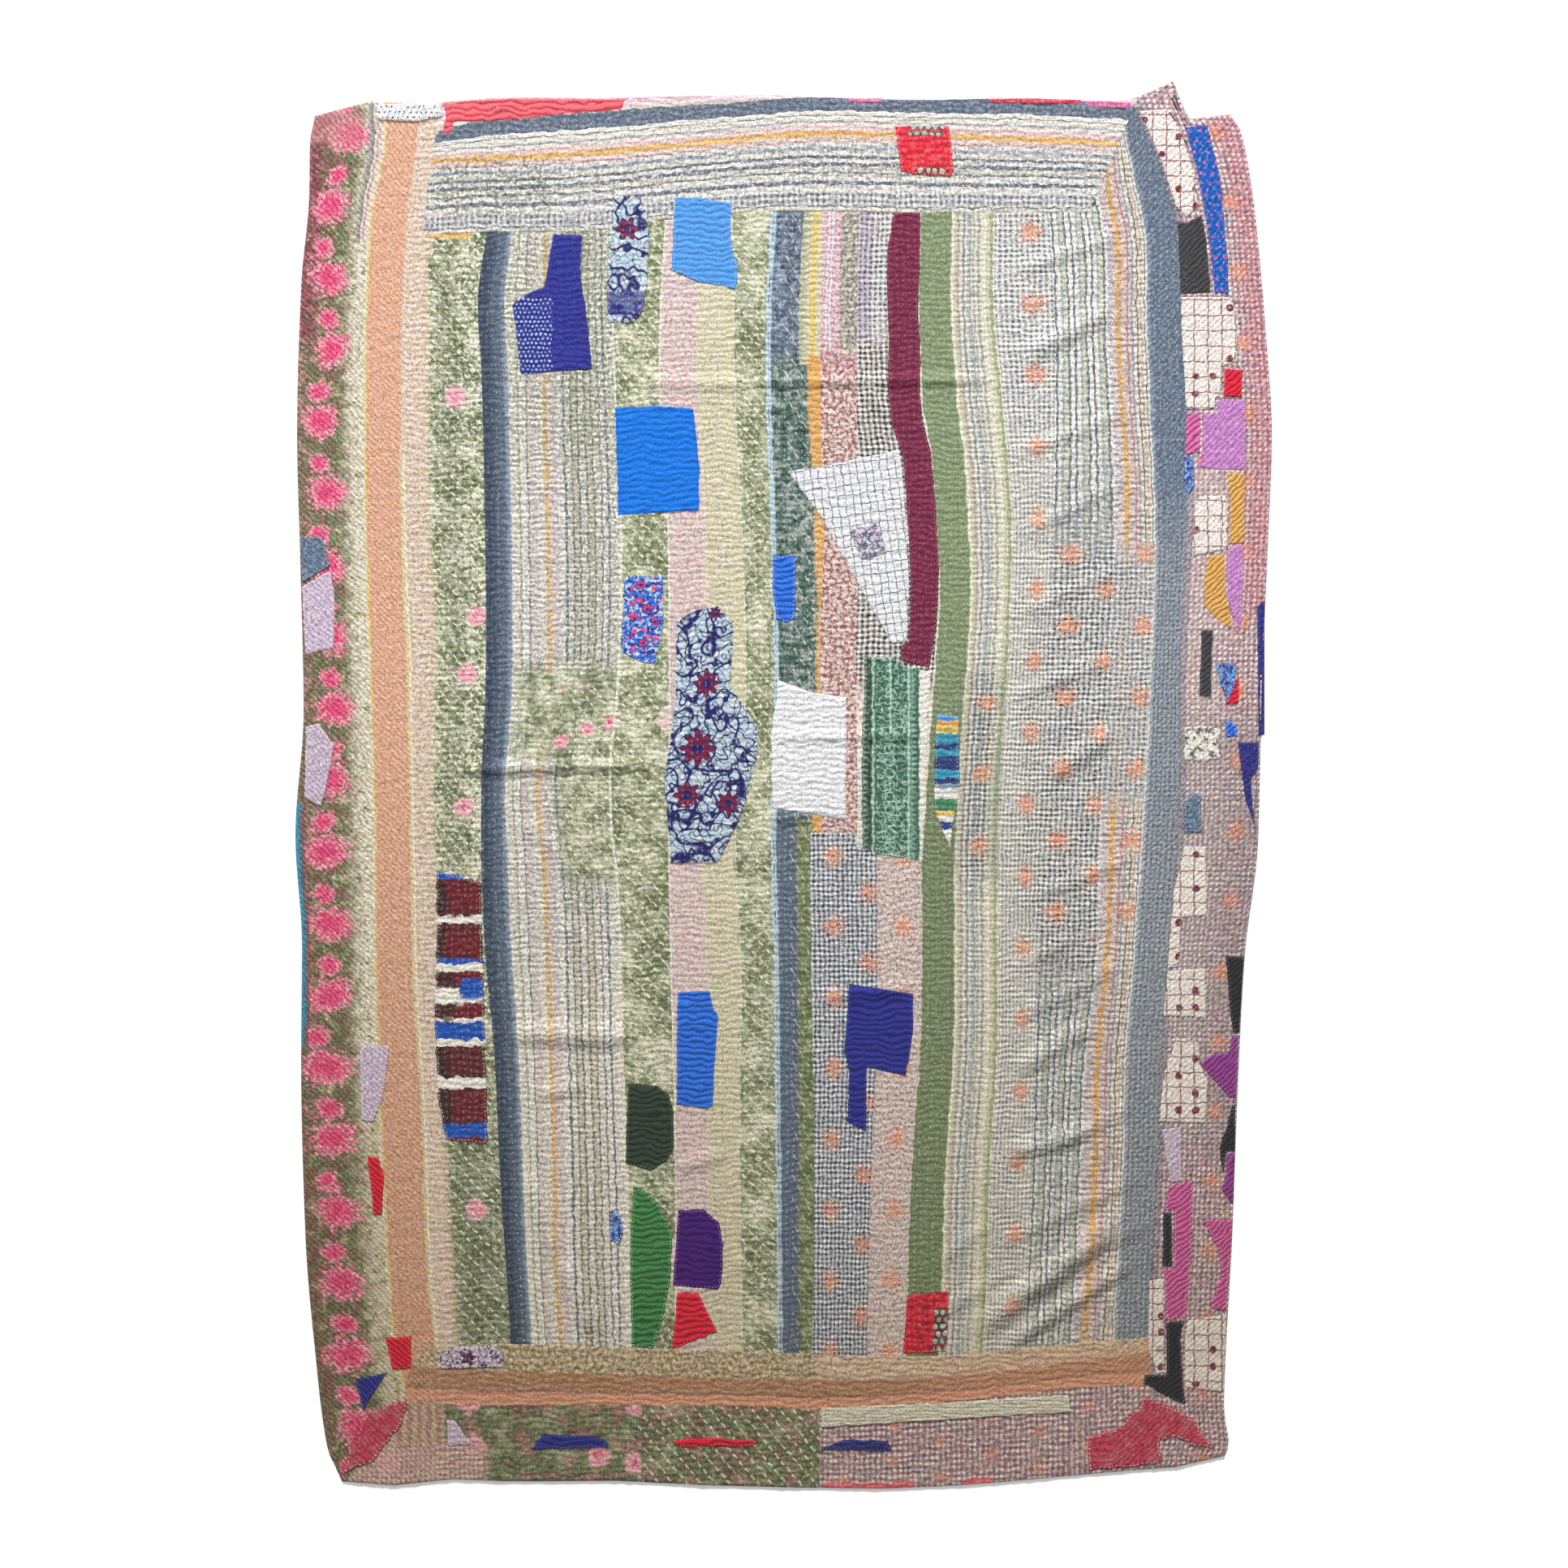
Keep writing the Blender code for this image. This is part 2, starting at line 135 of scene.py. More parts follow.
class ClothTree:
    """The node tree of one cloth, with a short method for each kind of sum that a pattern needs."""

    def __init__(self, name: str) -> None:
        """Starts an empty tree.

        Args:
            name: The material's name.
        """
        self.material = bpy.data.materials.new(name)
        self.material.use_nodes = True
        self.tree = self.material.node_tree
        self.tree.nodes.clear()
        self.kept: dict[object, object] = {}

    def put(self, socket: Socket, value: Union[Amount, Colour]) -> None:
        """Links a socket to another, or sets its value."""
        if isinstance(value, bpy.types.NodeSocket):
            self.tree.links.new(value, socket)
        else:
            socket.default_value = value

    def maths(self, operation: str, *values: Amount) -> Socket:
        """A Math node.

        Args:
            operation: The node's operation.
            values: Its inputs.

        Returns:
            Its output.
        """
        node = self.tree.nodes.new("ShaderNodeMath")
        node.operation = operation
        for socket, value in zip(node.inputs, values):
            self.put(socket, value)
        return node.outputs[0]

    def uv(self, layer: str) -> Socket:
        """The vector of a UV layer, in thousandths."""
        if layer not in self.kept:
            node = self.tree.nodes.new("ShaderNodeUVMap")
            node.uv_map = layer
            self.kept[layer] = node.outputs[0]
        return self.kept[layer]

    def place(self, layer: str = "cloth") -> tuple[Socket, Socket]:
        """Both coordinates of a UV layer, in the layer's own units: across and along the cloth."""
        key = (layer, "parts")
        if key not in self.kept:
            parts = self.tree.nodes.new("ShaderNodeSeparateXYZ")
            self.put(parts.inputs[0], self.uv(layer))
            pair = [self.maths("MULTIPLY", parts.outputs[k], UV_SCALE) for k in (0, 1)]
            if layer == "cloth":
                strays = [self.grain(15.0, 2.0, 0.6, seed) for seed in (41.0, 43.0)]
                pair = [self.maths("ADD", side, self.maths("MULTIPLY_ADD", stray, STRAY * 2, -STRAY))
                        for side, stray in zip(pair, strays)]
            self.kept[key] = tuple(pair)
        return self.kept[key]

    def grain(self, size: float, detail: float = 2.0, roughness: float = 0.5,
        seed: float = 0.0) -> Socket:
        """Soft noise over the cloth, from 0 to 1.

        Args:
            size: How far apart its lumps are, in pixels.
            detail: How many finer layers it has.
            roughness: How strong the finer layers are.
            seed: Another number gives other noise.

        Returns:
            The noise.
        """
        key = ("grain", size, detail, roughness, seed)
        if key not in self.kept:
            node = self.tree.nodes.new("ShaderNodeTexNoise")
            node.noise_dimensions = "2D"
            where = self.uv("cloth")
            if seed:
                moved = self.tree.nodes.new("ShaderNodeVectorMath")
                self.put(moved.inputs[0], where)
                self.put(moved.inputs[1], (seed, seed * 1.7, 0.0))
                where = moved.outputs[0]
            self.put(node.inputs["Vector"], where)
            self.put(node.inputs["Scale"], UV_SCALE / size)
            self.put(node.inputs["Detail"], detail)
            self.put(node.inputs["Roughness"], roughness)
            self.kept[key] = node.outputs[0]
        return self.kept[key]

    def step(self, value: Amount, edge: float, soft: float, falls: bool = False) -> Socket:
        """A smooth step from 0 to 1 as a value passes an edge, or from 1 to 0 where it falls."""
        node = self.tree.nodes.new("ShaderNodeMapRange")
        node.interpolation_type = "SMOOTHSTEP"
        ends = (1.0, 0.0) if falls else (0.0, 1.0)
        for socket, given in zip(node.inputs, (value, edge - soft, edge + soft, *ends)):
            self.put(socket, given)
        return node.outputs[0]

    def band(self, value: Amount, low: float, high: float, soft: float = 0.8) -> Socket:
        """1 where a value lies between two edges, and 0 outside them."""
        return self.maths("MULTIPLY", self.step(value, low, soft),
            self.step(value, high, soft, falls=True))

    def mix(self, share: Amount, under: Colour, over: Colour, mode: str = "MIX") -> Socket:
        """A colour part of the way from one to another.

        Args:
            share: How much of the second shows.
            under: The first colour.
            over: The second colour.
            mode: How the second is laid on the first.

        Returns:
            The mixed colour.
        """
        node = self.tree.nodes.new("ShaderNodeMix")
        node.data_type = "RGBA"
        node.blend_type = mode
        self.put(node.inputs[0], share)
        self.put(node.inputs[6], under)
        self.put(node.inputs[7], over)
        return node.outputs[2]

    def ramp(self, value: Amount, stops: Sequence[tuple[float, Dye]], sharp: bool = False) -> Socket:
        """A colour for each value from 0 to 1, through a list of stops."""
        node = self.tree.nodes.new("ShaderNodeValToRGB")
        ramp = node.color_ramp
        ramp.interpolation = "CONSTANT" if sharp else "LINEAR"
        while len(ramp.elements) < len(stops):
            ramp.elements.new(0.5)
        for index, (position, dye) in enumerate(stops):
            ramp.elements[index].position = position
            ramp.elements[index].color = dye.rgba
        self.put(node.inputs[0], value)
        return node.outputs[0]

    def grey(self, value: Amount) -> Socket:
        """A grey colour from an amount."""
        node = self.tree.nodes.new("ShaderNodeCombineColor")
        for socket in node.inputs:
            self.put(socket, value)
        return node.outputs[0]

    def wave(self, value: Amount, pitch: float) -> Socket:
        """A wave from 0 to 1 and back over each pitch."""
        turned = self.maths("MULTIPLY", value, FULL_TURN / pitch)
        return self.maths("MULTIPLY_ADD", self.maths("COSINE", turned), 0.5, 0.5)


# Patterns


class Pattern(Protocol):
    """What covers a part of a cloth."""

    def paint(self, tree: ClothTree) -> tuple[Colour, Amount]:
        """The pattern's colour, and how much of the cloth beneath it covers."""


@dataclass(frozen=True)
class Plain:
    """One dye, a little uneven from washing."""

    dye: Dye
    uneven: float = 0.16

    def paint(self, tree: ClothTree) -> tuple[Colour, Amount]:
        """The dye, lighter and darker over the cloth."""
        worn = tree.maths("MULTIPLY_ADD", tree.grain(14.0, 3.0, 0.65), self.uneven * 2, 1 - self.uneven)
        return tree.mix(1.0, self.dye.rgba, tree.grey(worn), "MULTIPLY"), 1.0


@dataclass(frozen=True)
class Blotches:
    """Blotches of several dyes, as in a print of crowded leaves."""

    stops: tuple[tuple[float, Dye], ...]
    size: float = 34.0
    detail: float = 5.0
    roughness: float = 0.78
    seed: float = 0.0

    def paint(self, tree: ClothTree) -> tuple[Colour, Amount]:
        """Each dye where the noise lies between its stop and the next."""
        return tree.ramp(tree.grain(self.size, self.detail, self.roughness, self.seed), self.stops), 1.0


@dataclass(frozen=True)
class Flecks:
    """Small flecks of one dye strewn over the cloth."""

    dye: Dye
    size: float = 4.0
    share: float = 0.5
    soft: float = 0.06
    seed: float = 3.0

    def paint(self, tree: ClothTree) -> tuple[Colour, Amount]:
        """The dye where fine noise is high."""
        return self.dye.rgba, tree.step(tree.grain(self.size, 1.0, 0.6, self.seed), 1 - self.share,
            self.soft)


@dataclass(frozen=True)
class Stripes:
    """Woven stripes side by side, each with its far edge in pixels, crossed by a fine uneven weft."""

    start: float
    stripes: tuple[tuple[float, Dye], ...]
    across: bool = True
    waver: float = 1.2
    cover: float = 1.0

    def paint(self, tree: ClothTree) -> tuple[Colour, Amount]:
        """Each stripe between the edge before it and its own."""
        value = tree.place()[0 if self.across else 1]
        moved = tree.maths("MULTIPLY_ADD", tree.grain(11.0, 1.0, 0.5, 8.0), self.waver * 2, -self.waver)
        reach = self.stripes[-1][0] - self.start
        share = tree.maths("DIVIDE",
            tree.maths("SUBTRACT", tree.maths("ADD", value, moved), self.start), reach)
        edges = [self.start] + [edge for edge, _ in self.stripes[:-1]]
        stops = [((edge - self.start) / reach, dye) for edge, (_, dye) in zip(edges, self.stripes)]
        return tree.ramp(share, stops, sharp=True), self.cover


@dataclass(frozen=True)
class Weft:
    """Fine threads across the stripes that break them into a small check."""

    dye: Dye
    pitch: float = 7.0
    share: float = 0.35
    level: bool = True

    def paint(self, tree: ClothTree) -> tuple[Colour, Amount]:
        """The dye on each second bar of the weft, broken by noise."""
        bar = tree.step(tree.wave(tree.place()[1 if self.level else 0], self.pitch), 0.5, 0.2)
        broken = tree.step(tree.grain(9.0, 2.0, 0.6, 5.0), 0.46, 0.08)
        return self.dye.rgba, tree.maths("MULTIPLY", tree.maths("MULTIPLY", bar, broken), self.share)


@dataclass(frozen=True)
class SmallCheck:
    """A small woven check: dark where both sets of coloured threads cross, and half dark where one does."""

    dark: Dye
    pitch: float = 5.6
    half: float = 0.42
    strength: float = 0.95
    lean: float = 0.0

    def paint(self, tree: ClothTree) -> tuple[Colour, Amount]:
        """The dark dye, as far as the threads of the two directions are coloured."""
        u, v = tree.place()
        if self.lean:
            u, v = tree.maths("MULTIPLY_ADD", v, self.lean, u), tree.maths("MULTIPLY_ADD", u,
                -self.lean, v)
        across = tree.step(tree.wave(u, self.pitch), 0.5, 0.15)
        along = tree.step(tree.wave(v, self.pitch), 0.5, 0.15)
        both = tree.maths("MULTIPLY", across, along)
        either = tree.maths("MULTIPLY", tree.maths("ADD", across, along), self.half)
        worn = tree.maths("MULTIPLY_ADD", tree.grain(30.0, 3.0, 0.7, 2.0), 0.8, 0.6)
        share = tree.maths("MULTIPLY", tree.maths("MAXIMUM", both, either), worn)
        return self.dark.rgba, tree.maths("MULTIPLY", share, self.strength)


@dataclass(frozen=True)
class Stars:
    """Eight-pointed stars in staggered columns."""

    across: float
    down: float
    dye: Dye = Dye.STAR_ORANGE
    pitch_across: float = 44.0
    pitch_down: float = 88.0
    radius: float = 10.5
    points: int = 8

    def paint(self, tree: ClothTree) -> tuple[Colour, Amount]:
        """Each star as a disc whose rim runs in and out with the angle."""
        u, v = tree.place()
        columns = tree.maths("DIVIDE", tree.maths("SUBTRACT", u, self.across - self.pitch_across / 2),
            self.pitch_across)
        column = tree.maths("FLOOR", columns)
        stagger = tree.maths("MULTIPLY", tree.maths("PINGPONG", column, 1.0), self.pitch_down / 2)
        rows = tree.maths("SUBTRACT", v, self.down - self.pitch_down / 2)
        row = tree.maths("DIVIDE", tree.maths("ADD", rows, stagger), self.pitch_down)
        du = tree.maths("MULTIPLY_ADD", tree.maths("FRACT", columns), self.pitch_across,
            -self.pitch_across / 2)
        dv = tree.maths("MULTIPLY_ADD", tree.maths("FRACT", row), self.pitch_down, -self.pitch_down / 2)
        far = tree.maths("SQRT", tree.maths("ADD", tree.maths("POWER", tree.maths("ABSOLUTE", du), 2.0),
                                            tree.maths("POWER", tree.maths("ABSOLUTE", dv), 2.0)))
        angle = tree.maths("MULTIPLY", tree.maths("ARCTAN2", dv, du), float(self.points))
        ray = tree.maths("POWER", tree.maths("MULTIPLY_ADD", tree.maths("COSINE", angle), 0.5, 0.5), 2.0)
        rim = tree.maths("MULTIPLY_ADD", ray, self.radius * 0.95, self.radius * 0.2)
        ragged = tree.maths("MULTIPLY_ADD", tree.grain(3.0, 1.0, 0.5, 4.0), 1.6, -0.8)
        cover = tree.step(tree.maths("SUBTRACT", tree.maths("ADD", rim, ragged), far), 0.0, 0.8)
        return self.dye.rgba, tree.maths("MULTIPLY", cover, tree.step(far, 1.4, 0.8))


@dataclass(frozen=True)
class Dashes:
    """Pale printed dashes in slanting lines."""

    dye: Dye = Dye.ECRU
    pitch: float = 13.5
    length: float = 11.0
    width: float = 1.0
    slope: float = 1.15
    strength: float = 0.95

    def paint(self, tree: ClothTree) -> tuple[Colour, Amount]:
        """The dye on part of each thin line."""
        u, v = tree.place()
        size = math.hypot(1.0, self.slope)
        aside = tree.maths("MULTIPLY_ADD", u, self.slope / size, tree.maths("MULTIPLY", v, -1 / size))
        along = tree.maths("MULTIPLY_ADD", u, 1 / size, tree.maths("MULTIPLY", v, self.slope / size))
        line = tree.maths("DIVIDE", aside, self.pitch)
        off = tree.maths("MULTIPLY",
            tree.maths("ABSOLUTE", tree.maths("SUBTRACT", tree.maths("FRACT", line), 0.5)),
                         self.pitch)
        shifted = tree.maths("MULTIPLY_ADD", tree.maths("FLOOR", line), 0.37,
            tree.maths("DIVIDE", along, self.length))
        dash = tree.step(tree.maths("FRACT", shifted), 0.62, 0.06, falls=True)
        cover = tree.maths("MULTIPLY", tree.step(off, self.width, 0.45, falls=True), dash)
        return self.dye.rgba, tree.maths("MULTIPLY", cover, self.strength)


@dataclass(frozen=True)
class Blossoms:
    """Loose roses strewn over a print, deep in the middle and pale at the rim."""

    spacing: float = 62.0
    radius: float = 17.0
    share: float = 0.34
    core: Dye = Dye.ROSE
    rim: Dye = Dye.PALE_ROSE
    seed: float = 0.0

    def paint(self, tree: ClothTree) -> tuple[Colour, Amount]:
        """A rose in some of the cells of a scattered set of points."""
        cells = tree.tree.nodes.new("ShaderNodeTexVoronoi")
        cells.voronoi_dimensions = "2D"
        moved = tree.tree.nodes.new("ShaderNodeVectorMath")
        tree.put(moved.inputs[0], tree.uv("cloth"))
        tree.put(moved.inputs[1], (self.seed, self.seed * 0.6, 0.0))
        tree.put(cells.inputs["Vector"], moved.outputs[0])
        tree.put(cells.inputs["Scale"], UV_SCALE / self.spacing)
        parts = tree.tree.nodes.new("ShaderNodeSeparateColor")
        tree.put(parts.inputs[0], cells.outputs["Color"])
        chosen = tree.step(parts.outputs[0], self.share, 0.01, falls=True)
        jagged = tree.maths("MULTIPLY_ADD", tree.grain(7.0, 3.0, 0.7, 6.0), self.radius * 1.5,
            -self.radius * 0.75)
        far = tree.maths("MULTIPLY_ADD", cells.outputs["Distance"], self.spacing, jagged)
        cover = tree.maths("MULTIPLY", tree.step(far, self.radius, 1.8, falls=True), chosen)
        petals = tree.step(tree.grain(5.0, 2.0, 0.6, 9.0), 0.5, 0.1)
        deep = tree.maths("MULTIPLY", petals, tree.step(far, self.radius * 0.6, 4.0, falls=True))
        return tree.mix(deep, self.rim.rgba, self.core.rgba), cover


@dataclass(frozen=True)
class RoseRow:
    """A row of roses along the cloth, each with smaller blooms above it."""

    across: float
    down: float
    pitch: float = 78.5
    radius: float = 19.0

    def paint(self, tree: ClothTree) -> tuple[Colour, Amount]:
        """Rings of petals round each middle, with a broken rim."""
        u, v = tree.place()
        row = tree.maths("DIVIDE", tree.maths("SUBTRACT", v, self.down - self.pitch / 2), self.pitch)
        dv = tree.maths("MULTIPLY_ADD", tree.maths("FRACT", row), self.pitch, -self.pitch / 2)
        sway = tree.maths("MULTIPLY_ADD", tree.grain(120.0, 1.0, 0.5, 31.0), 36.0, -18.0)
        du = tree.maths("SUBTRACT", tree.maths("ADD", u, sway), self.across)
        far = tree.maths("SQRT", tree.maths("ADD", tree.maths("POWER", tree.maths("ABSOLUTE", du), 2.0),
                                            tree.maths("POWER", tree.maths("ABSOLUTE", dv), 2.0)))
        jagged = tree.maths("MULTIPLY_ADD", tree.grain(7.0, 3.0, 0.75, 6.0), self.radius * 2.2,
            -self.radius * 1.1)
        rough = tree.maths("ADD", far, jagged)
        cover = tree.step(rough, self.radius, 2.4, falls=True)
        heart = tree.step(tree.maths("MULTIPLY_ADD", tree.grain(5.0, 3.0, 0.7, 7.0), self.radius * 1.8,
            far), self.radius * 1.5,
                          self.radius * 0.3, falls=True)
        petals = tree.mix(tree.step(tree.grain(4.0, 2.0, 0.6, 19.0), 0.5, 0.12), Dye.PALE_ROSE.rgba,
            Dye.ROSE.rgba)
        return tree.mix(heart, petals, Dye.HOT_PINK.rgba), cover


@dataclass(frozen=True)
class Scribble:
    """Fine drawn lines that wind over the cloth, like a sketch of leaves."""

    ink: Dye
    size: float = 9.0
    width: float = 0.045
    detail: float = 1.5
    seed: float = 11.0

    def paint(self, tree: ClothTree) -> tuple[Colour, Amount]:
        """The ink where noise is close to its middle value."""
        noise = tree.grain(self.size, self.detail, 0.6, self.seed)
        off = tree.maths("ABSOLUTE", tree.maths("SUBTRACT", noise, 0.5))
        return self.ink.rgba, tree.step(off, self.width, self.width * 0.5, falls=True)


@dataclass(frozen=True)
class Flower:
    """One flower with round petals, outlined in ink."""

    across: float
    down: float
    radius: float = 12.0
    petals: int = 7
    dye: Dye = Dye.MAROON
    ink: Dye = Dye.INK

    def paint(self, tree: ClothTree) -> tuple[Colour, Amount]:
        """The petals inside an ink rim that follows them, round an ink eye."""
        u, v = tree.place()
        du, dv = tree.maths("SUBTRACT", u, self.across), tree.maths("SUBTRACT", v, self.down)
        far = tree.maths("SQRT", tree.maths("ADD", tree.maths("MULTIPLY", du, du),
            tree.maths("MULTIPLY", dv, dv)))
        angle = tree.maths("MULTIPLY", tree.maths("ARCTAN2", dv, du), float(self.petals))
        rim = tree.maths("MULTIPLY_ADD", tree.maths("COSINE", angle), self.radius * 0.2,
            self.radius * 0.8)
        inside = tree.maths("SUBTRACT", rim, far)
        petal = tree.maths("MULTIPLY", tree.step(inside, 2.0, 0.7),
            tree.step(far, self.radius * 0.28, 0.8))
        return tree.mix(petal, self.ink.rgba, self.dye.rgba), tree.step(inside, 0.0, 0.7)


@dataclass(frozen=True)
class Grid:
    """Thin crossing lines, as on a windowpane check."""

    dye: Dye
    pitch_across: float = 14.0
    pitch_down: float = 14.0
    width: float = 0.9
    shift: float = 0.0
    strength: float = 0.9

    def paint(self, tree: ClothTree) -> tuple[Colour, Amount]:
        """The dye within half a line's width of each line."""
        u, v = tree.place()
        lines = []
        for value, pitch in ((u, self.pitch_across), (v, self.pitch_down)):
            share = tree.maths("FRACT", tree.maths("DIVIDE", tree.maths("ADD", value, self.shift), pitch))
            off = tree.maths("MULTIPLY", tree.maths("ABSOLUTE", tree.maths("SUBTRACT", share, 0.5)),
                pitch)
            lines.append(tree.step(off, self.width, 0.5, falls=True))
        broken = tree.maths("MULTIPLY", tree.step(tree.grain(4.0, 1.0, 0.5, 12.0), 0.3, 0.1),
            self.strength)
        return self.dye.rgba, tree.maths("MULTIPLY", tree.maths("MAXIMUM", *lines), broken)


@dataclass(frozen=True)
class Spots:
    """Round spots in staggered rows, some of them left out."""

    dye: Dye
    pitch: float = 8.0
    radius: float = 2.0
    share: float = 1.0
    stagger: float = 0.5
    shift: float = 0.0

    def paint(self, tree: ClothTree) -> tuple[Colour, Amount]:
        """The dye inside each spot that is kept."""
        u, v = tree.place()
        rows = tree.maths("DIVIDE", tree.maths("ADD", v, self.shift), self.pitch)
        odd = tree.maths("MULTIPLY", tree.maths("PINGPONG", tree.maths("FLOOR", rows), 1.0), self.stagger)
        columns = tree.maths("ADD", tree.maths("DIVIDE", tree.maths("ADD", u, self.shift), self.pitch),
            odd)
        du = tree.maths("SUBTRACT", tree.maths("FRACT", columns), 0.5)
        dv = tree.maths("SUBTRACT", tree.maths("FRACT", rows), 0.5)
        far = tree.maths("SQRT", tree.maths("ADD", tree.maths("MULTIPLY", du, du),
            tree.maths("MULTIPLY", dv, dv)))
        cover = tree.step(far, self.radius / self.pitch, 0.6 / self.pitch, falls=True)
        if self.share < 1:
            mixed = tree.maths("MULTIPLY_ADD", tree.maths("FLOOR", rows), 7.31,
                tree.maths("FLOOR", columns))
            drawn = tree.maths("FRACT", tree.maths("MULTIPLY", tree.maths("SINE", mixed), 43.7))
            cover = tree.maths("MULTIPLY", cover, tree.step(drawn, self.share, 0.01, falls=True))
        return self.dye.rgba, cover


@dataclass(frozen=True)
class Chain:
    """Rings one after another along the cloth, joined by crossing bars."""

    across: float
    dye: Dye
    pitch: float = 14.0
    radius: float = 5.4

    def paint(self, tree: ClothTree) -> tuple[Colour, Amount]:
        """The dye on each ring's line."""
        u, v = tree.place()
        du = tree.maths("SUBTRACT", u, self.across)
        share = tree.maths("FRACT", tree.maths("DIVIDE", v, self.pitch))
        dv = tree.maths("MULTIPLY_ADD", share, self.pitch, -self.pitch / 2)
        far = tree.maths("SQRT", tree.maths("ADD", tree.maths("MULTIPLY", du, du),
            tree.maths("MULTIPLY", dv, dv)))
        off = tree.maths("ABSOLUTE", tree.maths("SUBTRACT", far, self.radius))
        return self.dye.rgba, tree.step(off, 0.8, 0.5, falls=True)


@dataclass(frozen=True)
class Zigzag:
    """A zigzag edge along the cloth, solid on one side of it."""

    across: float
    dye: Dye
    pitch: float = 12.0
    reach: float = 9.0

    def paint(self, tree: ClothTree) -> tuple[Colour, Amount]:
        """The dye from the line to the zigzag."""
        u, v = tree.place()
        share = tree.maths("PINGPONG", tree.maths("DIVIDE", v, self.pitch / 2), 1.0)
        edge = tree.maths("MULTIPLY_ADD", share, self.reach, self.across)
        return self.dye.rgba, tree.step(tree.maths("SUBTRACT", edge, u), 0.0, 0.7)


@dataclass(frozen=True)
class Layer:
    """A pattern laid over part of a cloth, between edges in pixels across and along it."""

    pattern: Pattern
    low: float | None = None
    high: float | None = None
    head: float | None = None
    foot: float | None = None
    soft: float = 0.8
    ragged: float = 0.0
    strength: float = 1.0

    def lay(self, tree: ClothTree, under: Colour) -> Colour:
        """The cloth's colour with this layer on it.

        Args:
            tree: The cloth's tree.
            under: The colour beneath.

        Returns:
            The new colour.
        """
        colour, cover = self.pattern.paint(tree)
        u, v = tree.place()
        if self.ragged:
            torn = tree.maths("MULTIPLY_ADD", tree.grain(12.0, 4.0, 0.7, 1.0), self.ragged * 2,
                -self.ragged)
            u, v = tree.maths("ADD", u, torn), tree.maths("ADD", v, torn)
        for value, edge, falls in ((u, self.low, False), (u, self.high, True), (v, self.head, False),
            (v, self.foot, True)):
            if edge is not None:
                cover = tree.maths("MULTIPLY", cover, tree.step(value, edge, self.soft, falls))
        if self.strength != 1.0:
            cover = tree.maths("MULTIPLY", cover, self.strength)
        return tree.mix(cover, under, colour)


